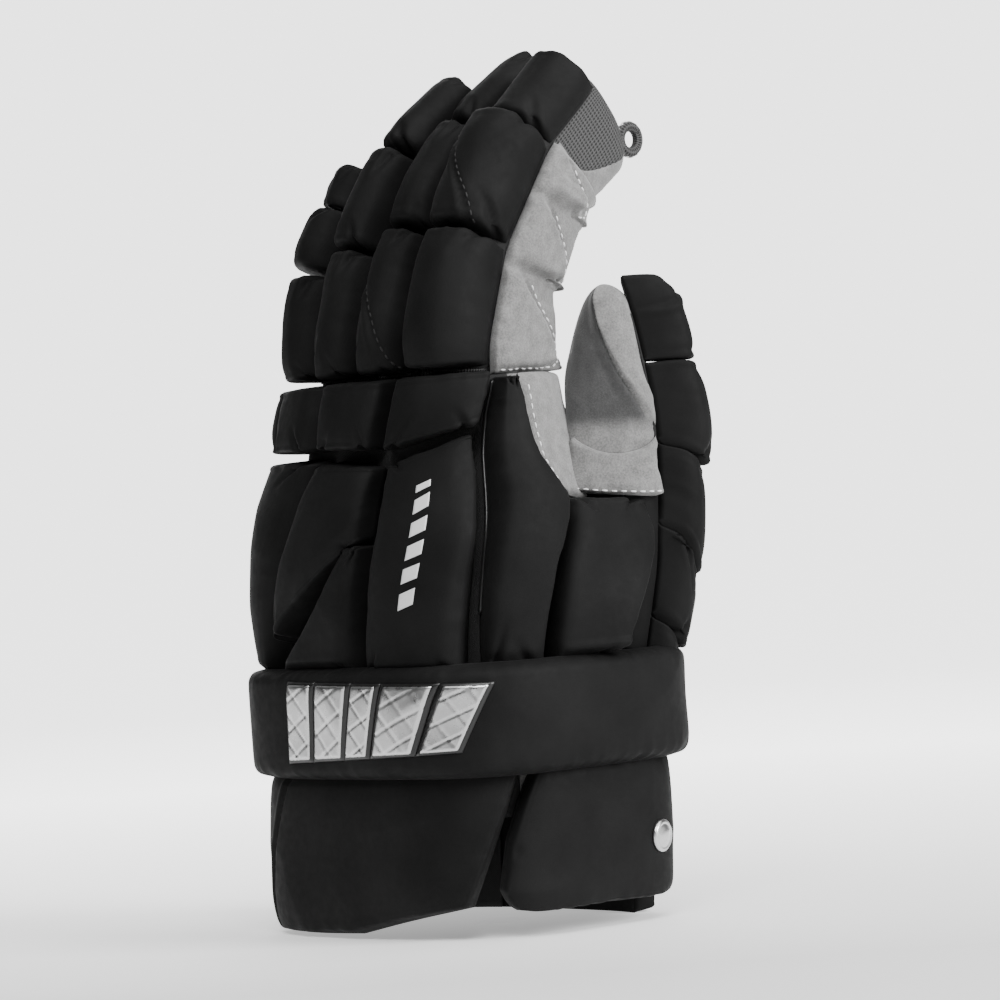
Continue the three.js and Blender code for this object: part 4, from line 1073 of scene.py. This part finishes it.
materials = {
    "shell": shell_material(),
    "cloth": cloth_material(),
    "suede": suede_material(),
    "mesh": mesh_material(),
    "metal": metal_material(),
    "thread_light": thread_material("light_thread", 0.8),
    "thread_dark": thread_material("dark_thread", 0.007),
    "print": thread_material("white_print", 0.8),
    "gloss": gloss_material(),
}

for pad in pads.values():
    points, faces, uv = closed_pad_mesh(pad)
    cushion = make_object(f"{pad.node}_cover", points, faces, pad.material, uv)
    nodes = [f"index_side_pad_{i}" for i in (1, 2, 3)] if pad.node == "index_side" else [pad.node]
    put_in_place(cushion, pad.material, *nodes)


# Cloth and suede shells


def walled(name, outer, inner, material, nodes=(), closed=False):
    """A wall between two matching grids, with its edges filled in. A closed one joins its last column to
    its first."""
    rows, columns = outer.shape[0] - 1, outer.shape[1] - 1
    along = np.concatenate([[0], np.cumsum(np.linalg.norm(np.diff(outer, axis=0), axis=-1).mean(axis=1))])
    across = np.concatenate([[0], np.cumsum(np.linalg.norm(np.diff(outer[rows // 3], axis=0), axis=-1))])
    if closed:
        outer, inner, across = outer[:, :-1], inner[:, :-1], across[:-1]
    width = outer.shape[1]
    count = outer.shape[0] * width
    faces = []
    for i in range(rows):
        for j in range(columns):
            k = (j + 1) % width
            cell = [i * width + j, i * width + k, (i + 1) * width + k, (i + 1) * width + j]
            faces += [cell, [corner + count for corner in cell[::-1]]]
    rims = [[i * width + j, i * width + (j + 1) % width, i == 0] for i in (0, rows) for j in range(columns)]
    if not closed:
        rims += [[i * width + j, (i + 1) * width + j, j > 0] for j in (0, width - 1) for i in range(rows)]
    for first, second, keep_order in rims:
        wall = [second, first, first + count, second + count]
        faces.append(wall if keep_order else wall[::-1])
    uv = np.stack(np.broadcast_arrays(across[None, :], along[:, None]), -1).reshape(-1, 2)
    points = np.vstack([outer.reshape(-1, 3), inner.reshape(-1, 3)])
    return put_in_place(make_object(name, points, faces, material, np.vstack([uv, uv])), material, *nodes)


def cloth_wall(name, outer, inner, material, nodes, closed=False):
    """A wall of cloth."""
    obj = walled(name, outer, inner, material, nodes, closed)
    return obj


def rumple(points, inner, size, amount, seed):
    """Moves the outer face of a wall by soft folds about size apart, away from its inner face."""
    return points + unit(points - inner) * (amount * folds(points, size, seed))[..., None]


SHELL_ROWS = 90
SHELL_COLUMNS = 110


def hand_shell(name, node, angles, material, amount):
    heights = np.linspace(CUFF_HEIGHT - LINING_DEPTH, HAND_LENGTH, SHELL_ROWS)
    grid_height, grid_angle = grid_of(heights, np.linspace(*angles, SHELL_COLUMNS))
    hollow = web_hollow(grid_height, grid_angle)
    outer = hand_surface(grid_height, grid_angle, -amount - hollow)
    inner = hand_surface(grid_height, grid_angle, -WALL - hollow)
    cloth_wall(name, rumple(outer, inner, 24, amount, 3), inner, material, [node])


SHELL_SEAM = 0.4  # degrees left open between the palm's suede and the cloth on the back
palm_angles = (SEAM_ON_THUMB_SIDE, SEAM_ON_LITTLE_SIDE)
back_angles = (SEAM_ON_LITTLE_SIDE + SHELL_SEAM, SEAM_ON_THUMB_SIDE + 360 - SHELL_SEAM)
hand_shell("palm_suede", "palm", palm_angles, "suede", 0.4)
hand_shell("hand_back_cloth", "hand_back", back_angles, "cloth", 0.2)

LINING_OUT = 0.6  # how far a lining lies outside the hand's or finger's surface
LINING_TOPS = (0.985, 0.762)  # shares of the hand's length, at the lining's front edge and farther round
LINING_FALL = 0.2  # and this much lower again towards the palm


def side_lining():
    """Black cloth behind the panels on the thumb's side of the hand."""
    angles = np.linspace(SEAM_ON_THUMB_SIDE + 0.3, 60, 50)
    top = (mix(*LINING_TOPS, ease((angles + 30) / 16)) - LINING_FALL * ease((angles - 22) / 34)) * HAND_LENGTH
    height = mix(CUFF_HEIGHT, top[None, :], np.linspace(0, 1, 60)[:, None])
    angle = np.broadcast_to(angles, height.shape)
    outer, inner = hand_surface(height, angle, LINING_OUT), hand_surface(height, angle, 0)
    cloth_wall("side_lining", outer, inner, "cloth", [])


WEB_CLOTH_INSET = 1.5  # from the hand's rim
WEB_CLOTH_DRAWN_IN = 3.5  # and this much more under the index finger's cover


def web_cloth():
    """Cloth across the hand's top, under the fingers, drawn in below the index finger's cover."""
    share, angle = grid_of(np.linspace(0.03, 1, 30), np.linspace(-180, 180, 97))
    drawn_in = WEB_CLOTH_DRAWN_IN * ease((angle + 50) / 20) * ease((125 - angle) / 40)
    rim = hand_surface(HAND_LENGTH, angle, -WEB_CLOTH_INSET - drawn_in)
    middle = rim.mean(axis=(0, 1))
    flat = mix(middle, rim, share[..., None])
    outer, inner = (flat + np.array([0, 0, rise - flat[0, 0, 2] + HAND_LENGTH])
                    for rise in (CLEARANCE + 0.9 * WEB_THICKNESS, CLEARANCE + 0.1))
    cloth_wall("finger_web_cloth", outer, inner, "cloth", ["finger_web"], closed=True)


side_lining()
web_cloth()

STRIP = 0.9
KNIT_FOOT = 0.9  # the knit goes down this far below a finger's base, to the cloth under it
STRIP_END = 168.75
INDEX_STRIP_TOPS = (0.705, 0.98)  # shares of the finger's length, at its back edge and on its palm side
INNER_SCALE = 0.94  # narrows the inner face of a knit tube or sleeve
STRIP_STARTS = {"index": -20, "middle": 33.75, "ring": 33.75, "little": 33.75}
TIP_RADII = {"index": 15, "middle": 12, "ring": 12, "little": 10}


def strip_reach(name, chain, angle):
    """How far up a finger its suede goes, by angle. On the index finger it rises towards the palm side."""
    if name != "index":
        return np.full_like(angle, (chain.length - FINGER_TIP_RADIUS) * 5 / 6)
    return chain.length * mix(*INDEX_STRIP_TOPS, ease((angle - 2) / 62) ** 1.4)


def tip_scale(along, length, radius):
    """Shrinks the last part of a finger or thumb to a round tip."""
    past = np.clip((along - length + radius) / radius, 0, 1)
    return np.maximum(np.sqrt(1 - past**2), 0.03)


def tip_rows(length, radius, rows=70, dome=12):
    turns = np.radians(np.linspace(0, 90, dome + 1)[1:])
    return np.concatenate([np.linspace(0, length - radius, rows), length - radius + radius * np.sin(turns)])


def finger_knit(name, chain):
    radius = TIP_RADII[name]
    rows = np.concatenate([[-KNIT_FOOT], tip_rows(chain.length, radius)])
    along, around = grid_of(rows, np.linspace(-180, 180, 97))
    scale = tip_scale(along, chain.length, radius)
    start = STRIP_STARTS[name]
    covered = (ease((around - start) / 5) * ease((STRIP_END - around) / 5)
               * ease((strip_reach(name, chain, around) - along) / 2))
    outer = chain.surface(along, around, -(STRIP + 0.15) * covered, 1, scale)
    inner = chain.surface(along, around, -WALL, 1, INNER_SCALE * scale)
    cloth_wall(f"{name}_knit", outer, inner, "mesh", [f"{name}_mesh"], closed=True)
    share, angle = grid_of(np.linspace(0, 1, 80), np.linspace(start, STRIP_END, 70))
    along = mix(0.3, strip_reach(name, chain, angle), share)
    scale = tip_scale(along, chain.length, radius)
    outer = chain.surface(along, angle, 0, 1, scale)
    inner = chain.surface(along, angle, -STRIP, 1, scale)
    outer = rumple(outer, inner, 8, 0.22, 7)
    cloth_wall(f"{name}_strip", outer, inner, "suede", [f"{name}_palm_strip"])
    # A black cloth sheet under the finger's pads. It is painted shade: it darkens the knit seen in the gaps
    # between the pads, where shade falls.
    along, angle = grid_of(np.linspace(0.5, chain.length - radius, 60),
                               np.linspace(PAD_START, PAD_ENDS[name] + 0.1, 40))
    outer, inner = chain.surface(along, angle, LINING_OUT), chain.surface(along, angle, 0.1)
    cloth_wall(f"{name}_lining", outer, inner, "cloth", [])


for name, chain in fingers.items():
    finger_knit(name, chain)


def inside_hand(points, lift):
    """Whether points lie inside the hand's surface lifted by lift."""
    share = points[..., 2] / HAND_LENGTH
    arch = arch_at(share)
    x = points[..., 0] - section_value("across", share) * HAND_HALF_WIDTH
    y = points[..., 1] - section_value("inward", share) * HAND_HALF_DEPTH - 1 / arch
    flat_x = np.arctan2(x, -y) / arch
    flat_y = 1 / arch - np.hypot(x, y)
    power = section_value("squareness", share)
    width = section_value("width", share) * HAND_HALF_WIDTH + lift
    depth = section_value("depth", share) * HAND_HALF_DEPTH + lift
    return (np.abs(flat_x / width) ** power + np.abs(flat_y / depth) ** power < 1) & (share < 1)


# Sewn ridge across the thumb's suede, as shares of the thumb's length and angles
THUMB_RIDGE = [(1.0, 140), (0.9, 160), (0.8, 186), (0.7, 214), (0.62, 240)]
RIDGE_LIP = 1.3
RIDGE_CHANNEL = 1.6
RIDGE_HOLLOW = 1.6
THUMB_SWELL = 2.4


def thumb_sleeve():
    """The thumb's suede, cut off where it runs into the hand, with a sunken panel beside its ridge that has
    painted shade on it.
    """
    angles = np.linspace(-180, 180, 145)
    search = np.linspace(0, thumb.length - THUMB_TIP_RADIUS, 400)
    start = []
    for angle in angles:
        covered = np.flatnonzero(inside_hand(thumb.surface(search, angle, 0), UNDER_PAD))
        start.append(search[covered[-1] + 1] if len(covered) else 0.0)
    rows = tip_rows(1.0, THUMB_TIP_RADIUS / thumb.length, rows=110)[:, None]
    along = mix(np.array(start)[None, :], thumb.length, rows)
    around = np.broadcast_to(angles, along.shape)
    scale = tip_scale(along, thumb.length, THUMB_TIP_RADIUS)
    share = along / thumb.length
    ridge = np.array(THUMB_RIDGE)[::-1]
    turn = (around - np.interp(share, ridge[:, 0], ridge[:, 1])) % 360
    turn = np.where(turn > 180, turn - 360, turn)
    on_ridge = (share > ridge[0, 0]) * ease((share - ridge[0, 0]) / 0.05)
    lip = RIDGE_LIP * ease(turn / 3) * ease((70 - turn) / 60) - RIDGE_CHANNEL * np.exp(-((turn / 2.0) ** 2))
    hollow = -RIDGE_HOLLOW * ease(-turn / 25) * ease((turn + 110) / 40)
    swell = THUMB_SWELL * ease((share - 0.5) / 0.15) * ease((1 - share) / 0.15)
    swell = swell * ease((145 - around) / 40) * (around > 40)
    lift = on_ridge * (lip + hollow) + swell * ease((around - 40) / 30)
    outer = thumb.surface(along, around, lift, 1, scale)
    inner = thumb.surface(along, around, -WALL - 1.2, 1, INNER_SCALE * scale)
    sleeve = cloth_wall("thumb_sleeve", rumple(outer, inner, 17, 0.45, 11), inner, "suede", ["thumb_suede"],
                        closed=True)
    # Painted shade on the sunken panel beside the ridge, stored on the points for the suede's shaded copy.
    darker = (on_ridge * ease((1.5 - turn) / 3) * ease((turn + 130) / 20))[:, :-1].ravel()
    panel = sleeve.data.attributes.new("darker", "FLOAT", "POINT")
    panel.data.foreach_set("value", np.concatenate([darker, darker]))


def thumb_patch(name, nodes, angles, reach, lift, material):
    along, angle = grid_of(np.linspace(*reach, 60), np.linspace(*angles, 40))
    outer = thumb.surface(along, angle, lift)
    cloth_wall(name, outer, thumb.surface(along, angle, 0.2), material, nodes)


def cuff_gusset():
    """Inner cloth behind the gap between the two panels on the palm side of the cuff."""
    height, angle = grid_of(np.linspace(0.05, CUFF_HEIGHT, 30), np.linspace(120, 130, 12))
    outer, inner = hand_surface(height, angle, 0.75), hand_surface(height, angle, 0.1)
    cloth_wall("cuff_gusset", outer, inner, "cloth", [])


cuff_gusset()
thumb_sleeve()
thumb_patch("thumb_back_cloth", ["thumb_back"], (-126, -54), (30, 0.92 * thumb.length), 0.7, "cloth")
thumb_patch("thumb_side_cloth", [], (104, 238), (14, HEM["from"] * thumb.length + 1), 0.8, "shell")

# Stitches

STITCH_LENGTH = 2.3
STITCH_STEP = 3.6
STITCH_RADIUS = 0.36
# Share of the stitch, width and rise there in thread radii
STITCH_PROFILE = [(0, 0.1, -0.4), (0.1, 0.75, 0), (0.35, 1, 0.25),
                  (0.65, 1, 0.25), (0.9, 0.75, 0), (1, 0.1, -0.4)]
STITCH_SIDES = 6
SEAM_STEPS = 120


def stitch_rings(head, tail, normal):
    forward = unit(tail - head)
    side = unit(np.cross(normal, forward))
    turns = full_turn(STITCH_SIDES)
    round_thread = np.outer(np.cos(turns), side) + np.outer(np.sin(turns), normal)
    return [mix(head, tail, share) + STITCH_RADIUS * (rise * normal + width * round_thread)
            for share, width, rise in STITCH_PROFILE]


def ring_faces(rings, sides, first=0, closed=False):
    """Faces between rings of points. Unless they close on each other, the first and last get an end face."""
    faces = []
    for i in range(rings if closed else rings - 1):
        for k in range(sides):
            n, m = (k + 1) % sides, (i + 1) % rings
            faces.append([first + i * sides + k, first + i * sides + n,
                          first + m * sides + n, first + m * sides + k])
    if not closed:
        faces.append([first + k for k in reversed(range(sides))])
        faces.append([first + (rings - 1) * sides + k for k in range(sides)])
    return faces


def sew(name, pad, path, material):
    """A row of stitches along a path of (a, b) places on a pad."""
    _, line_a, line_b = along_path(path, SEAM_STEPS)
    points, normals = pad.on_top(line_a, line_b)
    line = np.concatenate([[0], np.cumsum(np.linalg.norm(np.diff(points, axis=0), axis=1))])
    vertices, faces = [], []
    for start in np.arange(0.5, line[-1] - STITCH_LENGTH, STITCH_STEP):
        head, tail = (point_at(at, line, points) for at in (start, start + STITCH_LENGTH))
        normal = unit(point_at(start, line, normals))
        faces += ring_faces(len(STITCH_PROFILE), STITCH_SIDES, len(vertices))
        vertices += [point for ring in stitch_rings(head, tail, normal) for point in ring]
    put_in_place(make_object(name, vertices, faces, material), material)


STITCHES = [
    ("index_pad_2", [(1, 0.14), (0.5, 0.4), (0.02, 0.78)], "thread_dark"),
    ("middle_pad_1", [(0.98, 0.18), (0.6, 0.26), (0.3, 0.54), (0.02, 0.95)], "thread_dark"),
    ("middle_pad_2", [(0.8, 0.14), (0.1, 0.08)], "thread_dark"),
    ("thumb_hem", [(0.1, 0.03), (0.1, 0.5), (0.1, 0.97)], "thread_light"),
    ("index_web", [(0.03, 0.2), (0.33, 0.15), (0.66, 0.13), (0.96, 0.12)], "thread_light"),
    ("index_side", [(0.022, 0.06), (0.022, 0.66)], "thread_light"),
]
STITCHES += [("index_side", [(a, b + SEAM_BESIDE_PUFF) for a, b in path], "thread_light")
             for path in puff_seams]
for number, (node, path, material) in enumerate(STITCHES):
    sew(f"stitches_{number + 1}", pads[node], path, material)

# Badge: slanted bars on the band, each in a dark frame

BARS = [(0.0, 0.14), (0.17, 0.36), (0.39, 0.52), (0.55, 0.77), (0.8, 0.97)]
BAR_SLANT = 0.075
FRAME_RIM = 0.014
ENGRAVING = 0.3
BEVEL_UP = 34  # a bar's bevel takes one part in this many of its height
BEVEL_ACROSS = 14  # and of its width


def plate_place(a, b):
    """Places on the band's pad for places on the badge."""
    (low_a, angle_a, low_b, angle_b), (high_a, top_a, high_b, top_b) = PLATE_RUNGS
    angle = mix(mix(angle_a, top_a, a), mix(angle_b, top_b, a), b)
    up = mix(mix(low_a, high_a, a), mix(low_b, high_b, a), b)
    return up, (angle - BAND_START) / (BAND_END - BAND_START)


def bar_wall(name, start, end, rim, height, material, nodes):
    a, b = grid_of(np.linspace(0, 1, 40), np.linspace(0, 1, 28))
    badge_a = mix(0.03 - 2 * rim, 0.97 + 2 * rim, a)
    badge_b = mix(start - rim, end + rim, b) + BAR_SLANT * (badge_a - 0.5)
    bevel = ease(np.minimum(np.minimum(a, 1 - a) * BEVEL_UP, np.minimum(b, 1 - b) * BEVEL_ACROSS))
    cut = np.exp(-((np.abs((2.3 * badge_a + 9 * badge_b) % 1 - 0.5) / 0.035) ** 2))
    cut += np.exp(-((np.abs((3.1 * badge_a - 5 * badge_b + 0.3) % 1 - 0.5) / 0.03) ** 2))
    engraved = ENGRAVING * cut * bevel * (material == "metal")
    band = pads["wrist_band"]
    outer, _ = band.on_top(*plate_place(badge_a, badge_b), 0.2 + height * bevel - engraved)
    inner, _ = band.on_top(*plate_place(badge_a, badge_b), np.full_like(a, -0.4))
    walled(name, outer, inner, material, nodes)


for number, (start, end) in enumerate(BARS):
    bar_wall(f"badge_bar_{number + 1}", start, end, 0, PLATE_THICKNESS, "metal", ["badge_plate"])
    bar_wall(f"badge_frame_{number + 1}", start, end, FRAME_RIM, 0.5 * PLATE_THICKNESS, "gloss", [])

# Printed bars on the back, snap and pull tab

PRINTS = 6
PRINTS_UP = (0.24, 0.76)
PRINTS_ACROSS = (0.42, 0.55)
PRINT_SHARE = 0.62  # of the way from one block to the next
PRINT_SLANT = 0.02
PRINT_LIFT = 0.12
print_pad = pads["back_plate"]
for number in range(PRINTS):
    a, b = grid_of(np.linspace(0, 1, 12), np.linspace(0, 1, 10))
    place_a = mix(*PRINTS_UP, (number + 0.1 + PRINT_SHARE * a) / PRINTS) + PRINT_SLANT * (b - 0.5)
    place_b = mix(*PRINTS_ACROSS, b)
    outer, _ = print_pad.on_top(place_a, place_b, np.full_like(a, PRINT_LIFT))
    inner, _ = print_pad.on_top(place_a, place_b, np.full_like(a, -0.2))
    walled(f"print_{number + 1}", outer, inner, "print")

SNAP_PROFILE = [(0.98, 0), (1, 0.2), (0.98, 0.45), (0.88, 0.66), (0.8, 0.7),
                (0.74, 0.62), (0.68, 0.64), (0.5, 0.84), (0.28, 0.96), (0.08, 1)]
SNAP_SIDES = 48


def snap_cap():
    panel = pads["cuff_thumb_side"]
    place, normal = (values[0] for values in panel.on_top([SNAP_PLACE[0]], [SNAP_PLACE[1]], [0]))
    side = unit(np.cross(normal, [0, 0, 1.0]))
    turns = full_turn(SNAP_SIDES)
    ring = np.outer(np.cos(turns), side) + np.outer(np.sin(turns), np.cross(normal, side))
    points = [place + radius * SNAP_RADIUS * ring + (height * SNAP_HEIGHT - 0.3) * normal
              for radius, height in SNAP_PROFILE]
    faces = ring_faces(len(SNAP_PROFILE), SNAP_SIDES)
    put_in_place(make_object("snap_cap", np.vstack(points), faces, "metal"), "metal", "cuff_snap")


snap_cap()


def tube(name, path, radius, material, closed=False, sides=8):
    """A round thread or piping along a path of points."""
    path = np.asarray(path, float)
    ahead = np.roll(path, -1, axis=0) - np.roll(path, 1, axis=0) if closed else np.gradient(path, axis=0)
    side = unit(np.cross(ahead, index.across))
    other = np.cross(unit(ahead), side)
    turns = full_turn(sides)
    points = np.stack([path + radius * (math.cos(turn) * side + math.sin(turn) * other) for turn in turns],
                      axis=1)
    faces = ring_faces(len(path), sides, closed=closed)
    put_in_place(make_object(name, points.reshape(-1, 3), faces, material), material)


LOOP_STEPS = 48
LOOP_SIDES = 16
ZIGZAGS = 16
ZIGZAG_SWING = 0.35  # to each side of the ring's middle, as a share of the cord's radius
THREAD_RADIUS = 0.25
PIPING_RADIUS = 0.8


def pull_loop():
    """A knitted tape ring on the index fingertip, with a zigzag thread round its outside."""
    bend = index.bend(np.array([index.length]))
    inward = -math.sin(bend[0]) * index.up + math.cos(bend[0]) * index.palmward
    forward = index.direction(bend)[0]
    centre = index.surface(index.length + LOOP_AHEAD, 90, -LOOP_DROP)

    def on_ring(turn):
        return np.outer(np.cos(turn), forward) + np.outer(np.sin(turn), inward)

    turns = full_turn(LOOP_STEPS)
    section = full_turn(LOOP_SIDES)
    points = np.stack([centre + (LOOP_RADIUS + LOOP_CORD * math.cos(angle)) * on_ring(turns)
                       + LOOP_CORD * math.sin(angle) * index.across for angle in section], axis=1)
    uv = np.stack(grid_of(turns * LOOP_RADIUS, section * LOOP_CORD), -1).reshape(-1, 2)
    faces = ring_faces(LOOP_STEPS, LOOP_SIDES, closed=True)
    loop = make_object("pull_loop", points.reshape(-1, 3), faces, "mesh", uv)
    put_in_place(loop, "mesh", "index_pull_loop")
    turns = np.linspace(0, 2 * math.pi, 12 * ZIGZAGS, endpoint=False)
    swing = ZIGZAG_SWING * LOOP_CORD * (2 / math.pi) * np.arcsin(np.sin(ZIGZAGS * turns))
    out = LOOP_RADIUS + LOOP_CORD * np.sqrt(1 - (swing / LOOP_CORD) ** 2)
    zigzag = centre + out[:, None] * on_ring(turns) + swing[:, None] * index.across
    tube("pull_loop_thread", zigzag, THREAD_RADIUS, "thread_light", closed=True)


pull_loop()
piping_a = np.linspace(0.1, 0.99, 90)
piping, _ = pads["side_front"].on_top(piping_a, np.full_like(piping_a, 0.012), np.full_like(piping_a, 0.3))
tube("side_piping", piping, PIPING_RADIUS, "gloss")

# Camera, light and floor

AIM = Vector((0, 0, 165))
AZIMUTH = 50
ROLL = 4
DISTANCE = 1700
PIXELS_PER_MM = 2.62
PICTURE_WIDTH = 1000
PICTURE_SHIFT = (0.0591, -0.0082)
SENSOR = 36


def add_camera():
    turn = math.radians(AZIMUTH)
    roll = math.radians(ROLL)
    look = Vector((-math.sin(turn), math.cos(turn), 0))
    level = Vector((math.cos(turn), math.sin(turn), 0))
    up = Vector((0, 0, 1))
    right = math.cos(roll) * level - math.sin(roll) * up
    top = math.sin(roll) * level + math.cos(roll) * up
    data = bpy.data.cameras.new("camera")
    data.lens = SENSOR * DISTANCE * PIXELS_PER_MM / PICTURE_WIDTH
    data.sensor_width = SENSOR
    data.shift_x, data.shift_y = PICTURE_SHIFT
    camera = new_object("camera", data)
    camera.matrix_world = Matrix((right, top, -look)).transposed().to_4x4()
    camera.location = (AIM + Vector(SHIFT) - look * DISTANCE) * MM
    bpy.context.scene.camera = camera


# Metres and watts. Each light looks at a height on the glove's middle.
LIGHTS = [
    {"name": "key", "place": (2.2, 0.6, 1.1), "looks_at": 0.15, "size": 1.0, "power": 88},
    {"name": "front", "place": (1.3, -1.2, 2.0), "looks_at": 0.2, "size": 1.2, "power": 54},
    {"name": "back_of_hand", "place": (0.0, -1.2, 1.9), "looks_at": 0.2, "size": 1.2, "power": 8},
    {"name": "top", "place": (0.6, 0.5, 2.0), "looks_at": 0.15, "size": 1.2, "power": 20},
]
WORLD_LIGHT = 0.08


def add_light(name, place, looks_at, size, power):
    data = bpy.data.lights.new(name, "AREA")
    data.shape = "SQUARE"
    data.size = size
    data.energy = power
    light = new_object(name, data)
    light.location = place
    light.rotation_euler = (Vector((0, 0, looks_at)) - Vector(place)).to_track_quat("-Z", "Y").to_euler()


FLOOR_RADIUS = 1.8
WALL_RADIUS = 2.6
WALL_HEIGHT = 3.0
WALL_REACH = 0.6  # cosine of the angle that the wall spans to each side
WALL_STEPS = 12
WALL_GLOW = 2.8
PLAIN_GLOW = 0.2
STUDIO_SIDES = 48


def add_floor():
    """A pale round floor that curves up into a wall behind the glove, farther off than any view."""
    bend = WALL_RADIUS - FLOOR_RADIUS
    profile = [(0.01, 0.0), (FLOOR_RADIUS / 2, 0.0), (FLOOR_RADIUS, 0.0)]
    for step in range(1, WALL_STEPS + 1):
        curve = math.radians(90 * step / WALL_STEPS)
        profile.append((FLOOR_RADIUS + bend * math.sin(curve), bend - bend * math.cos(curve)))
    profile.append((WALL_RADIUS, WALL_HEIGHT))
    turns = full_turn(STUDIO_SIDES)
    points = [(radius * math.cos(turn), radius * math.sin(turn), rise)
              for radius, rise in profile for turn in turns]
    faces = [list(range(STUDIO_SIDES))]
    for i in range(len(profile) - 1):
        for k in range(STUDIO_SIDES):
            behind = math.cos(turns[k] - math.radians(AZIMUTH + 90)) > WALL_REACH
            if i < 2 or behind:
                n = (k + 1) % STUDIO_SIDES
                faces.append([i * STUDIO_SIDES + k, i * STUDIO_SIDES + n, (i + 1) * STUDIO_SIDES + n,
                              (i + 1) * STUDIO_SIDES + k])
    mesh = bpy.data.meshes.new("floor")
    mesh.from_pydata(points, [], faces)
    mesh.shade_smooth()
    mesh.materials.append(floor_material())
    floor = new_object("floor", mesh)


def floor_material():
    """Pale under the glove, plain grey around it, and lit up in a broad stripe behind it."""
    shader = Shader("pale_floor")
    shader.set(Roughness=0.8, Emission_Color=grey(1))
    split = shader.add("ShaderNodeSeparateXYZ", {0: shader.position()})
    turn = math.radians(AZIMUTH)
    back, side = (shader.math("ADD", shader.math("MULTIPLY", split.outputs[0], x_share),
                              shader.math("MULTIPLY", split.outputs[1], y_share))
                  for x_share, y_share in ((-math.sin(turn), math.cos(turn)),
                                           (math.cos(turn), math.sin(turn))))
    radius = shader.add("ShaderNodeVectorMath", {0: shader.position()}, operation="LENGTH").outputs["Value"]
    far = shader.ramp(radius, FLOOR_RADIUS / 2, FLOOR_RADIUS, 0, 1)
    shader.set(Base_Color=shader.blend(far, grey(0.8), grey(0.12)))
    stripe = shader.ramp(shader.math("ABSOLUTE", side), 0.6, 1.2, 1, 0)
    glow = shader.math("MULTIPLY", stripe, shader.ramp(back, -0.2, 0.9, 0, WALL_GLOW))
    plain = shader.math("MULTIPLY", far, PLAIN_GLOW)
    shader.set(Emission_Strength=shader.math("MAXIMUM", glow, plain))
    shader.material.cycles.emission_sampling = "NONE"
    return shader.material


add_camera()
add_floor()
for lamp in LIGHTS:
    add_light(**lamp)
world = bpy.data.worlds.new("studio")
world.use_nodes = True
world.node_tree.nodes["Background"].inputs["Color"].default_value = grey(1)
world.node_tree.nodes["Background"].inputs["Strength"].default_value = WORLD_LIGHT
bpy.context.scene.world = world
